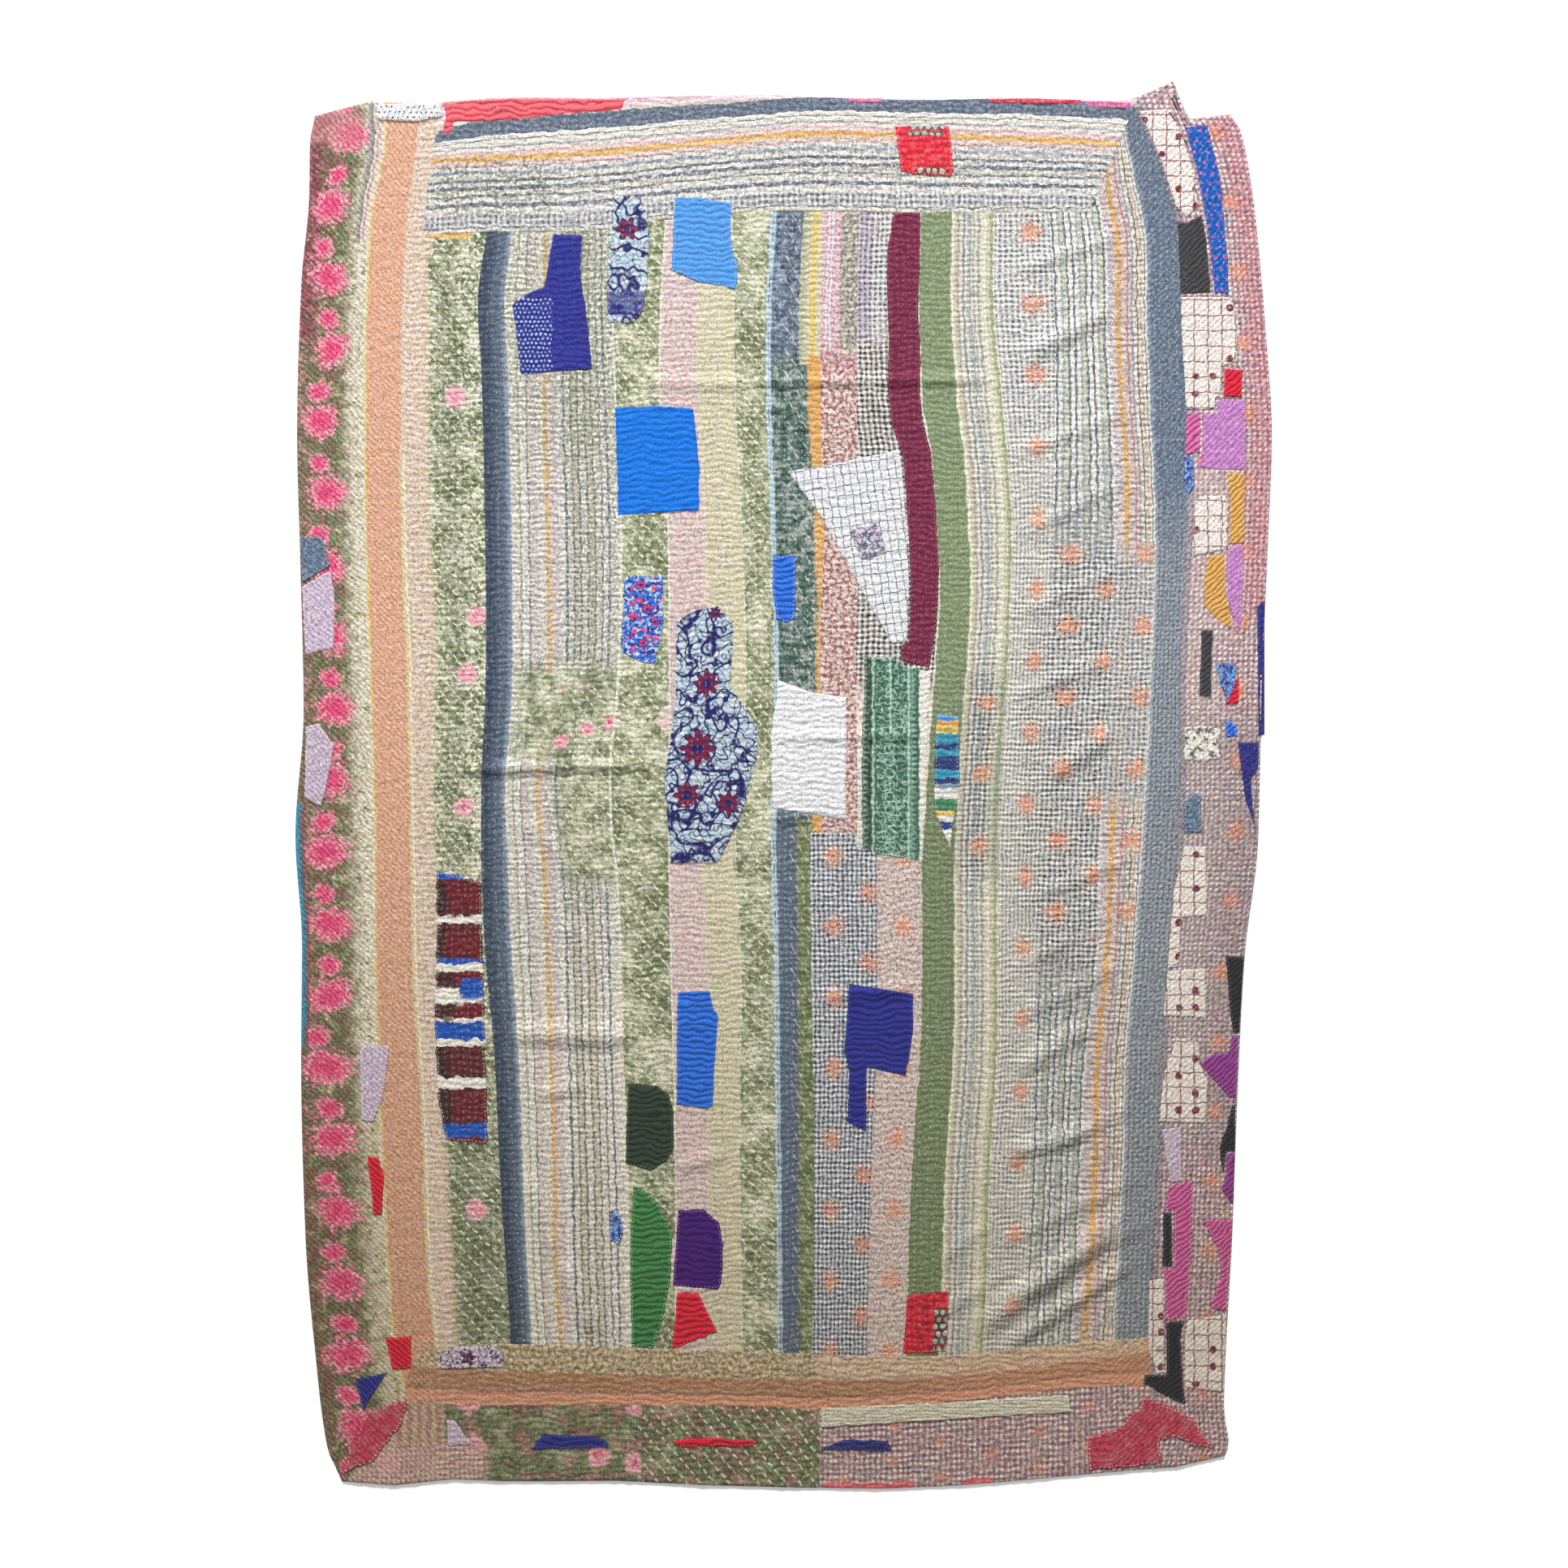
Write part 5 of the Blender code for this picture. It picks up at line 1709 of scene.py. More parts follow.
STARS_MID_CLOTH = Cloth("checked_star_cotton", (
    Layer(Plain(Dye.WHITE)),
    Layer(SmallCheck(Dye.DARK_SLATE, 6.2, 0.62, strength=1)),
    Layer(Plain(Dye.BLUSH), low=1080, soft=1.5, ragged=2),
    Layer(Flecks(Dye.RUST_PINK, 4.6, 0.38, 0.08), low=1080, soft=1.5, strength=0.6),
    Layer(Flecks(Dye.GREY, 4, 0.42, 0.08, 8), low=1080, soft=1.5, strength=0.7),
    Layer(Stars(1023, 1055, pitch_across=45.5, pitch_down=87, radius=14), low=1000),
), furrow_shade=0.35)

GREEN_CLOTH = Cloth("green_band_cotton", (
    Layer(Plain(Dye.BAND_GREEN, 0.12)),
    Layer(Plain(Dye.DEEP_OLIVE), head=880, soft=240, strength=0.35),
    Layer(Plain(Dye.ECRU), low=1176, soft=1.2),
    Layer(Stripes(1176, ((1179, Dye.ECRU), (1183, Dye.PALE_YELLOW), (1186, Dye.BLUSH), (1190, Dye.ECRU),
                           (1192, Dye.PALE_SLATE), (1198, Dye.ECRU), (1200, Dye.PALE_SLATE),
                               (1207, Dye.ECRU),
                           (1209, Dye.CELERY), (1217, Dye.ECRU), (1222, Dye.CELERY), (1226, Dye.SAGE),
                           (1233, Dye.ECRU))), low=1177.5, soft=1),
    Layer(SmallCheck(Dye.GREY, 6.2, strength=0.75), low=1180, high=1214, soft=2, ragged=1),
    Layer(SmallCheck(Dye.DARK_SLATE, 6.2, strength=0.9), low=1180, high=1226, head=830, foot=1080,
        soft=24, ragged=8),
    Layer(Stars(1204, 954, pitch_across=44, pitch_down=88, radius=12), low=1182, high=1224, head=840,
        foot=1100),
    Layer(Plain(Dye.ECRU), high=1138, soft=0.8),
), furrow_shade=0.32, thread=Dye.CELERY, thread_shows=0.55, wear_and_highlight=0.12)

STARS_RIGHT_CLOTH = Cloth("pale_star_cotton", (
    Layer(Plain(Dye.IVORY)),
    Layer(SmallCheck(Dye.SLATE, 6.2, 0.4), foot=600, soft=50, ragged=10),
    Layer(Plain(Dye.ECRU), head=560, soft=60, strength=0.7),
    Layer(SmallCheck(Dye.SLATE, 6.2, 0.4, strength=0.85), head=560, soft=60, ragged=10),
    Layer(SmallCheck(Dye.DARK_SLATE, 6.2, 0.3, strength=0.6), low=1258, head=740, foot=1140, soft=20,
        ragged=14),
    Layer(Stars(1268, 287, pitch_across=60, pitch_down=88, radius=14.5), low=1248, high=1290),
), furrow_shade=0.43)

BLUE_STRIPES = tuple(
    (1292 + 8 * (k // 2) + (0, 3)[k % 2], (Dye.IVORY, Dye.SLATE, Dye.ECRU, Dye.PALE_SLATE, Dye.CELERY,
                                                 Dye.SLATE)[k % 6])
    for k in range(20)
)
BLUE_STRIPE_CLOTH = Cloth("blue_striped_cotton", (
    Layer(Stripes(1288, BLUE_STRIPES)),
    Layer(Weft(Dye.SLATE, 6.5, 0.6), head=560, soft=60),
    Layer(Weft(Dye.IVORY, 6.5, 0.25), foot=620, soft=60),
    Layer(Flecks(Dye.SLATE, 4, 0.38, 0.08, 12), strength=0.5),
    Layer(Plain(Dye.IVORY), head=668, foot=1190, soft=60, ragged=30, strength=0.9),
    Layer(SmallCheck(Dye.DARK_SLATE, 6.2, 0.5, strength=1), head=650, foot=1230, soft=60, ragged=30),
    Layer(Flecks(Dye.ECRU, 5, 0.42, 0.06, 5), head=1180, soft=40, strength=0.3),
    Layer(Stars(1268, 287, radius=14), low=1290, head=662, foot=1160, soft=4),
), furrow_shade=0.43)

EDGE_STRIPES = (
    (1363, Dye.IVORY), (1366, Dye.PALE_LILAC), (1372.5, Dye.BLUSH), (1378.5, Dye.ORANGE),
        (1386, Dye.BLUSH),
    (1388.5, Dye.RUST_PINK), (1392, Dye.BLUSH), (1394.5, Dye.PALE_SLATE), (1399, Dye.ECRU),
        (1401, Dye.BROWN),
    (1404, Dye.ECRU), (1406.5, Dye.SAND), (1409.5, Dye.IVORY), (1411, Dye.GREY), (1420, Dye.IVORY),
)
EDGE_CLOTH = Cloth("orange_line_cotton", (
    Layer(Stripes(1358, EDGE_STRIPES)),
    Layer(Weft(Dye.GREY, 7, 0.7)),
    Layer(Flecks(Dye.RUST, 4, 0.36, 0.08, 12), strength=0.4),
    Layer(Plain(Dye.IVORY), head=680, foot=985, soft=26, ragged=12, strength=0.6),
    Layer(SmallCheck(Dye.SLATE, 6.2, strength=1), head=680, foot=985, soft=26, ragged=12),
    Layer(Stars(1268, 287, radius=14), low=1384, head=662, foot=1160, soft=4),
), furrow_shade=0.43)

SLATE_RIGHT_CLOTH = Cloth("slate_edge_cotton", (
    Layer(Plain(Dye.SLATE, 0.12)),
    Layer(Plain(Dye.GREY), head=1100, soft=200, strength=0.35),
    Layer(Flecks(Dye.PALE_SLATE, 4, 0.42, 0.1), strength=0.5),
    Layer(Plain(Dye.PALE_SLATE), high=1417, soft=3, strength=0.6),
    Layer(Plain(Dye.ECRU), high=1413.5, soft=1),
    Layer(SmallCheck(Dye.IVORY, 6, strength=0.5), head=650, soft=80, ragged=20, strength=0.6),
), thread=Dye.IVORY, thread_shows=0.3, furrow_shade=0.35, wear_and_highlight=0.08)

HEAD_STRIPES = (
    (118, Dye.RUST_PINK), (124, Dye.PALE_LILAC), (132, Dye.BLUSH), (152, Dye.SLATE), (157, Dye.IVORY),
    (158.5, Dye.GREY), (165, Dye.ECRU), (166.5, Dye.PALE_SLATE), (169, Dye.BLUSH), (172, Dye.ECRU),
    (174, Dye.PALE_ROSE), (178, Dye.BLUSH), (184.5, Dye.ORANGE), (190, Dye.BLUSH), (192, Dye.RUST_PINK),
    (196.5, Dye.IVORY), (200.5, Dye.PALE_SLATE), (207, Dye.ECRU), (210, Dye.SLATE), (215, Dye.IVORY),
    (219, Dye.SLATE), (225, Dye.ECRU), (228, Dye.GREY), (236, Dye.IVORY), (240, Dye.SLATE),
    (249, Dye.IVORY), (264, Dye.WHITE), (266, Dye.SLATE), (280, Dye.ECRU),
)
HEAD_CLOTH = Cloth("head_border_cotton", (
    Layer(Stripes(112, HEAD_STRIPES, across=False, waver=1)),
    Layer(Flecks(Dye.GREY, 4, 0.42, 0.08, 12), head=154, strength=0.45),
    Layer(Flecks(Dye.IVORY, 4, 0.40, 0.06), head=190, strength=0.6),
    Layer(Weft(Dye.GREY, 6, 0.4, level=False), head=192, ragged=4),
    Layer(SmallCheck(Dye.CHAR, 7.2, strength=0.8), head=250, foot=264, soft=1),
    Layer(Flecks(Dye.DARK_SLATE, 6, 0.40, 0.06, 9), head=190, foot=252, soft=8, ragged=12, strength=0.4),
    Layer(Flecks(Dye.DEEP_OLIVE, 6, 0.42, 0.06, 19), head=180, foot=252, low=540, high=680, soft=10,
        ragged=12,
          strength=0.7),
), furrow_shade=0.32)

FOOT_CLOTH = Cloth("foot_border_cotton", (
    Layer(Plain(Dye.SAND)),
    Layer(Flecks(Dye.OLIVE, 5, 0.48, 0.06), foot=1690, high=1005, strength=0.9),
    Layer(Flecks(Dye.BROWN_PEACH, 6, 0.4, 0.06, 6), foot=1692, strength=0.7),
    Layer(Flecks(Dye.GREY, 4, 0.32, 0.06, 5), foot=1692, low=1000, strength=0.6),
    Layer(Plain(Dye.BROWN_PEACH, 0.12), head=1688, foot=1713, soft=1.6),
    Layer(Plain(Dye.PEACH, 0.1), head=1713, foot=1732, soft=1.6, ragged=1),
    Layer(Plain(Dye.BROWN), head=1711, foot=1714.5, soft=1.4, strength=0.7),
    Layer(Plain(Dye.PEACH), low=1150, head=1690, foot=1715, soft=60, strength=0.7),
    Layer(Flecks(Dye.OLIVE, 6, 0.34, 0.1, 4), head=1688, foot=1712, high=1000, strength=0.4),
), furrow_shade=0.38)

FOOT_LEAF_CLOTH = Cloth("foot_thicket_cotton", (
    Layer(Blotches(((0.38, Dye.BROWN), (0.47, Dye.DEEP_OLIVE), (0.56, Dye.OLIVE), (0.66, Dye.SAGE)),
        size=36, seed=7)),
    Layer(Flecks(Dye.RUST_PINK, 22, 0.40, 0.12, 9), strength=0.45),
    Layer(Blossoms(spacing=52, radius=14, share=0.34), high=790),
    Layer(Stripes(488, tuple((490 + 6 * k, (Dye.SAND, Dye.RUST_PINK)[k % 2]) for k in range(20))),
          high=548, foot=1786, soft=6, ragged=8, strength=0.7),
    Layer(Plain(Dye.RUST_PINK), high=600, head=1782, soft=8, ragged=12, strength=0.7),
    Layer(SmallCheck(Dye.ECRU, 6, strength=0.6), high=600, head=1782, soft=8, ragged=12),
    Layer(Dashes(Dye.ECRU), low=780, soft=20),
), furrow_shade=0.43)

PINK_CHECK_LAYERS = (
    Layer(Plain(Dye.RUST)),
    Layer(Flecks(Dye.RUST_PINK, 16, 0.55, 0.1, 15), strength=0.5),
    Layer(SmallCheck(Dye.WHITE, 6.6, strength=1, half=0.3)),
    Layer(Flecks(Dye.SLATE, 7, 0.44, 0.06, 5), strength=0.5),
)
FOOT_CHECK_CLOTH = Cloth("foot_check_cotton", (
    *PINK_CHECK_LAYERS,
    Layer(Stars(1040, 1775, pitch_across=60, pitch_down=44, radius=8)),
    Layer(Plain(Dye.CORAL), head=1822, low=1015, high=1125, soft=2, ragged=3, strength=0.9),
    Layer(Plain(Dye.CORAL), head=1822, low=1185, high=1222, soft=2, ragged=3, strength=0.9),
), furrow_shade=0.41)

RIGHT_CLOTH = Cloth("right_border_cotton", (
    *PINK_CHECK_LAYERS,
    Layer(Plain(Dye.BLUSH), head=560, foot=1400, high=1512, soft=30, ragged=20, strength=0.25),
    Layer(SmallCheck(Dye.GREY, 6.2, strength=0.6), head=880, foot=1420, soft=30, ragged=20),
    Layer(Plain(Dye.CRIMSON), low=1533, foot=760, soft=8, ragged=16, strength=0.3),
    Layer(Stars(1530, 250, pitch_across=42, pitch_down=86, radius=12), low=1500),
    Layer(Plain(Dye.SLATE), high=1463, soft=3, ragged=3, strength=0.55),
), furrow_shade=0.43)

BACK_CLOTH = Cloth("back_cotton", (
    Layer(Plain(Dye.ECRU, 0.1)),
    Layer(Stripes(360, tuple((360 + 24 * (k // 2) + (20, 24)[k % 2], (Dye.ECRU, Dye.RUST_PINK)[k % 2])
                               for k in range(30))), high=720.0),
    Layer(SmallCheck(Dye.RUST_PINK, 12, strength=0.6), low=720, soft=1),
    Layer(Stars(700, 200, dye=Dye.RUST, pitch_across=90, pitch_down=90, radius=14), low=720),
), furrow_shade=0.29, thread=Dye.RUST, thread_shows=0.6)


# The patches' cloths


def plain_cloth(name: str, dye: Dye, thread: Dye | None = None, shows: float = 0.3,
    roughness: float = 0.85,
                furrow_shade: float = 1) -> Cloth:
    """A plain dyed cotton with the quilting's stitches in a thread of its own."""
    return Cloth(name, (Layer(Plain(dye, 0.1)),), thread=thread or dye, thread_shows=shows,
        roughness=roughness,
                 furrow_shade=furrow_shade, wear_and_highlight=0, speckle=1)


NAVY_CLOTH = plain_cloth("navy_cotton", Dye.NAVY, Dye.SLATE, 0.12)
NAVY_SPOT_CLOTH = Cloth("navy_spotted_cotton", (
    Layer(Plain(Dye.NAVY, 0.07)),
    Layer(Spots(Dye.ICE_BLUE, 5.4, 1.3), high=680, head=366, ragged=3),
), thread=Dye.NAVY, furrow_shade=0.61, wear_and_highlight=0.02)
SKY_CLOTH = plain_cloth("sky_cotton", Dye.SKY, Dye.ICE_BLUE, 0.15, furrow_shade=0.55)
BRIGHT_CLOTH = plain_cloth("bright_blue_cotton", Dye.BRIGHT_BLUE, Dye.BRIGHT_BLUE, 0.3, 0.7, 0.5)
TAB_CLOTH = plain_cloth("mid_blue_cotton", Dye.MID_BLUE, Dye.SKY, 0.2)
BLOSSOM_CLOTH = Cloth("blossom_print_cotton", (
    Layer(Plain(Dye.ICE_BLUE, 0.06)),
    Layer(Flecks(Dye.IVORY, 9, 0.42, 0.08, 17), strength=0.6),
    Layer(Scribble(Dye.DARK_SLATE, 9, 0.04, 0), strength=0.8),
    Layer(Scribble(Dye.INK, 24, 0.05, 1, 5)),
    Layer(Blotches(((0.30, Dye.INK), (0.60, Dye.NAVY)), size=9), head=360, foot=388, ragged=9, soft=2,
        strength=0.8),
    Layer(Flower(773, 283, 16, 6)),
), furrow_shade=0.38, wear_and_highlight=0.05)
FLOWER_SPRAY = ((882, 756, 10), (871, 842, 18), (860, 922, 24), (847, 980, 19), (898, 990, 17))
PALE_FLOWER_CLOTH = Cloth("pale_flower_cotton", (
    Layer(Plain(Dye.ICE_BLUE, 0.06)),
    Layer(Flecks(Dye.IVORY, 9, 0.42, 0.08, 17), strength=0.6),
    Layer(Scribble(Dye.DARK_SLATE, 10, 0.045, 0), strength=0.9),
    Layer(Scribble(Dye.INK, 30, 0.035, 0.5, 5)),
    Layer(Scribble(Dye.INK, 22, 0.03, 1, 25)),
    *(Layer(Flower(px, py, radius, 8)) for px, py, radius in FLOWER_SPRAY),
), furrow_shade=0.4, wear_and_highlight=0, speckle=1)
SMALL_FLOWER_CLOTH = Cloth("small_flower_cotton", (
    Layer(Plain(Dye.NAVY)),
    Layer(Flecks(Dye.MID_BLUE, 7, 0.55)),
    Layer(Flecks(Dye.ICE_BLUE, 6, 0.44, 0.05, 7)),
    Layer(Flecks(Dye.HOT_PINK, 9, 0.36, 0.04, 17)),
    Layer(Flower(790, 722, 8, 5, Dye.HOT_PINK, Dye.NAVY)),
    Layer(Flower(798, 750, 8, 5, Dye.HOT_PINK, Dye.NAVY)),
    Layer(Flower(808, 767, 7, 5, Dye.HOT_PINK, Dye.NAVY)),
    Layer(Flower(793, 793, 8, 5, Dye.HOT_PINK, Dye.NAVY)),
), furrow_shade=0.43, wear_and_highlight=0.03)
WEDGE_CLOTH = Cloth("white_grid_cotton",
    (Layer(Plain(Dye.WHITE, 0.04)), Layer(Grid(Dye.DARK_SLATE, 9.5, 12.6, 0.55))),
                    thread=Dye.WHITE, furrow_shade=0.20, wear_and_highlight=0)
SEERSUCKER_CLOTH = Cloth("white_puckered_cotton", (Layer(Plain(Dye.WHITE, 0.05)),), thread=Dye.WHITE,
    furrow_shade=0.43, wear_and_highlight=0)
MAROON_CLOTH = Cloth("maroon_cotton", (
    Layer(Plain(Dye.MAROON, 0.1)),
    Layer(Flecks(Dye.WINE, 4, 0.4, 0.1), strength=0.4),
), thread=Dye.RUST_PINK, thread_shows=0.35, furrow_shade=0.52, wear_and_highlight=0.04)
RED_FLOWER_CLOTH = Cloth("red_flower_cotton", (
    Layer(Plain(Dye.RED, 0.2)),
    Layer(Flecks(Dye.CORAL, 9, 0.4, 0.12), strength=0.6),
    Layer(Spots(Dye.BLACK, 9, 4.4), low=1120, high=1162, foot=169),
    Layer(Spots(Dye.MINT, 9, 3.2), low=1120, high=1162, foot=168),
    Layer(Spots(Dye.BLACK, 9, 4.4), low=1128, high=1166, head=206, foot=222),
    Layer(Spots(Dye.PALE_YELLOW, 9, 3.2), low=1128, high=1166, head=207, foot=222),
), furrow_shade=0.43, wear_and_highlight=0.04)
RED_HEX_CLOTH = Cloth("red_spotted_cotton", (
    Layer(Plain(Dye.RED, 0.2)),
    Layer(Flecks(Dye.WINE, 7, 0.42, 0.12), strength=0.7),
    Layer(Spots(Dye.BLACK, 9, 4.6), low=1150, head=1610, soft=1, ragged=2),
    Layer(Spots(Dye.MINT, 9, 3.3), low=1150, head=1610, soft=1, ragged=2),
), furrow_shade=0.49, wear_and_highlight=0.04)
GREEN_PRINT_CLOTH = Cloth("green_printed_band", (
    Layer(Plain(Dye.TEAL_GREEN, 0.12)),
    Layer(Flecks(Dye.DARK_GREEN, 4, 0.4, 0.08), strength=0.7),
    Layer(Stripes(1056, ((1062, Dye.IVORY), (1074, Dye.DARK_GREEN), (1077, Dye.MINT),
        (1083, Dye.TEAL_GREEN))),
          high=1078, soft=0.8, strength=0.8),
    Layer(Plain(Dye.MINT), low=1096, high=1098.5, soft=0.6, foot=905),
    Layer(Plain(Dye.MINT), low=1118, high=1121, soft=0.6),
    Layer(Scribble(Dye.MINT, 9, 0.05, 1), low=1079, high=1118, strength=0.7),
    Layer(Chain(1096, Dye.MINT, 15, 6), low=1080, high=1117, head=905, strength=0.85),
    Layer(Zigzag(1122, Dye.MINT, 7, 8), low=1122, high=1132, strength=0.5),
    Layer(Zigzag(1062, Dye.MINT, 7, 8), low=1063, high=1074, strength=0.5),
    Layer(Plain(Dye.IVORY), low=1132.5, soft=0.8),
    Layer(Flecks(Dye.GREY, 4, 0.34), low=1133, strength=0.5),
), furrow_shade=0.38, wear_and_highlight=0.08)
SATIN_CLOTH = Cloth("bright_satin", (
    Layer(Blotches(((0.30, Dye.INK), (0.46, Dye.TURQUOISE), (0.56, Dye.SKY), (0.66, Dye.IVORY)),
        size=14)),
    Layer(Stripes(880, ((886, Dye.SKY), (893, Dye.MUSTARD), (903, Dye.YELLOW), (916, Dye.TURQUOISE),
        (922, Dye.INK),
                          (932, Dye.TURQUOISE), (948, Dye.INK), (958, Dye.TURQUOISE), (966, Dye.INK),
                          (972, Dye.PALE_SLATE), (984, Dye.IVORY), (998, Dye.LEAF_GREEN),
                              (1003, Dye.YELLOW),
                          (1013, Dye.IVORY), (1022, Dye.NAVY), (1050, Dye.IVORY)), across=False, waver=3),
          strength=0.9),
), roughness=0.4, furrow_shade=0.51, sheen=0.3, wear_and_highlight=0)
DARK_GREEN_CLOTH = plain_cloth("dark_green_cotton", Dye.DARK_GREEN, Dye.OLIVE, 0.12)
LEAF_GREEN_CLOTH = plain_cloth("leaf_green_cotton", Dye.LEAF_GREEN)
PURPLE_CLOTH = plain_cloth("purple_cotton", Dye.PURPLE)
RED_CLOTH = plain_cloth("red_cotton", Dye.RED, Dye.CORAL, 0.15)
BAR_STRIPES = (
    (1082, Dye.DEEP_BLUE), (1086, Dye.WINE), (1127, Dye.DARK_BROWN), (1138, Dye.IVORY),
        (1180, Dye.DARK_BROWN),
    (1186, Dye.DEEP_BLUE), (1196, Dye.IVORY), (1214, Dye.WINE), (1222, Dye.IVORY), (1234, Dye.DEEP_BLUE),
    (1252, Dye.WINE), (1258, Dye.IVORY), (1280, Dye.DEEP_BLUE), (1288, Dye.IVORY), (1327, Dye.DARK_BROWN),
    (1340, Dye.IVORY), (1383, Dye.DARK_BROWN), (1400, Dye.DEEP_BLUE), (1420, Dye.WINE),
)
BAR_CLOTH = Cloth("barred_cotton", (
    Layer(Stripes(1070, BAR_STRIPES, across=False, waver=4)),
    Layer(Plain(Dye.WINE), low=552, head=1088, foot=1126, soft=5, ragged=12, strength=0.95),
    Layer(Plain(Dye.WINE), low=548, head=1141, foot=1178, soft=5, ragged=14, strength=0.95),
    Layer(Plain(Dye.WINE), low=552, head=1290, foot=1325, soft=5, ragged=14, strength=0.6),
    Layer(Plain(Dye.WINE), low=556, head=1342, foot=1381, soft=5, ragged=12, strength=0.9),
    Layer(Plain(Dye.DARK_BROWN), head=1196, foot=1256, high=562, soft=2, ragged=12, strength=0.8),
    Layer(Plain(Dye.IVORY), head=1218, foot=1236, soft=2, ragged=8),
    Layer(Plain(Dye.DEEP_BLUE), low=568, head=1206, foot=1230, soft=2, ragged=8),
), furrow_shade=0.43, wear_and_highlight=0.05)
LILAC_CLOTH = Cloth("lilac_cotton",
    (Layer(Plain(Dye.PALE_LILAC, 0.08)), Layer(Flecks(Dye.LILAC, 4, 0.5, 0.1)),),
                    thread=Dye.WHITE, furrow_shade=0.38)
LILAC_SPRIG_CLOTH = Cloth("lilac_sprig_cotton", (
    Layer(Plain(Dye.PALE_LILAC)), Layer(Flecks(Dye.ORCHID, 8, 0.4), strength=0.7),
        Layer(Scribble(Dye.SLATE, 8, 0.07)),
), furrow_shade=0.29, wear_and_highlight=0.05)
LILAC_LEAF_CLOTH = Cloth("lilac_leaf_cotton", (
    Layer(Plain(Dye.PALE_LILAC)), Layer(Scribble(Dye.PURPLE, 7, 0.05)),
        Layer(Flower(578, 1672, 10, 5, Dye.WINE)),
), furrow_shade=0.29)
SLATE_PATCH_CLOTH = Cloth("slate_blue_cotton",
    (Layer(Plain(Dye.SLATE, 0.1)), Layer(Flecks(Dye.SKY, 4, 0.4, 0.1), strength=0.5)),
                          thread=Dye.PALE_SLATE, furrow_shade=0.43)
CORAL_CLOTH = plain_cloth("coral_cotton", Dye.CORAL, Dye.CORAL, 0.2)
GREY_CLOTH = plain_cloth("charcoal_cotton", Dye.CHAR, Dye.GREY, 0.2)
BLACK_CLOTH = plain_cloth("black_cotton", Dye.BLACK, Dye.GREY, 0.15)
BLUE_BAND_CLOTH = Cloth("blue_motif_cotton", (
    Layer(Plain(Dye.DEEP_BLUE, 0.08)),
    Layer(Spots(Dye.TURQUOISE, 9, 1.9, shift=4)),
    Layer(Spots(Dye.PINK, 13, 1.9)),
), furrow_shade=0.43, wear_and_highlight=0.03)
ORCHID_CLOTH = Cloth("orchid_cotton", (
    Layer(Plain(Dye.ORCHID, 0.06)),
        Layer(Plain(Dye.HOT_PINK), high=1482, foot=572, soft=1.5, strength=0.55),
), thread=Dye.PALE_ROSE, thread_shows=0.2, furrow_shade=0.43)
MUSTARD_CLOTH = plain_cloth("mustard_cotton", Dye.MUSTARD, Dye.YELLOW, 0.3)
PINK_CLOTH = plain_cloth("pink_cotton", Dye.PINK, Dye.PALE_ROSE, 0.25)
VIOLET_CLOTH = plain_cloth("violet_cotton", Dye.VIOLET, Dye.ORCHID, 0.2)
WHITE_DOT_CLOTH = Cloth("white_dotted_cotton",
    (Layer(Plain(Dye.WHITE, 0.05)), Layer(Spots(Dye.CHAR, 6.5, 1.2, 0.8))), furrow_shade=0.29)
PANE_CLOTH = Cloth("windowpane_cotton", (
    Layer(Plain(Dye.IVORY, 0.08)),
    Layer(Dashes(Dye.RUST_PINK, 5, 9, 0.8, -0.9), strength=0.4),
    Layer(Grid(Dye.MAROON, 17, 19, 0.8)),
    Layer(Spots(Dye.MAROON, 21, 4.6, 0.55, 0, 8)),
), furrow_shade=0.29)
BLUE_FLOWER_CLOTH = Cloth("blue_flower_cotton", (
    Layer(Plain(Dye.NAVY)), Layer(Flecks(Dye.SKY, 6, 0.5)), Layer(Flecks(Dye.INK, 5, 0.3, 0.05, 6)),
), furrow_shade=0.29)
DARK_BLUE_CLOTH = Cloth("dark_blue_cotton", (
    Layer(Plain(Dye.NAVY, 0.1)), Layer(Flecks(Dye.INK, 4, 0.5, 0.08), strength=0.8),
), thread=Dye.SLATE, furrow_shade=0.43, wear_and_highlight=0.04)
MOTTLED_CLOTH = Cloth("mottled_cotton", (
    Layer(Plain(Dye.IVORY)), Layer(Blotches(((0.40, Dye.CHAR), (0.50, Dye.IVORY)), size=8, detail=2),
        strength=0.9),
), furrow_shade=0.29)
FADED_RED_CLOTH = Cloth("faded_red_cotton", (
    Layer(Plain(Dye.CRIMSON, 0.2)), Layer(Flecks(Dye.RUST_PINK, 14, 0.4, 0.2), strength=0.5),
), thread=Dye.PALE_ROSE, furrow_shade=0.43, wear_and_highlight=0.08)
PALE_STRIPE_CLOTH = Cloth("pale_striped_cotton", (
    Layer(Plain(Dye.ECRU)), Layer(Grid(Dye.OLIVE, 4000, 4.2, 0.7), strength=0.7),
), furrow_shade=0.23)


# The pieces, as a maker would sew them: the face's strips, then the patches

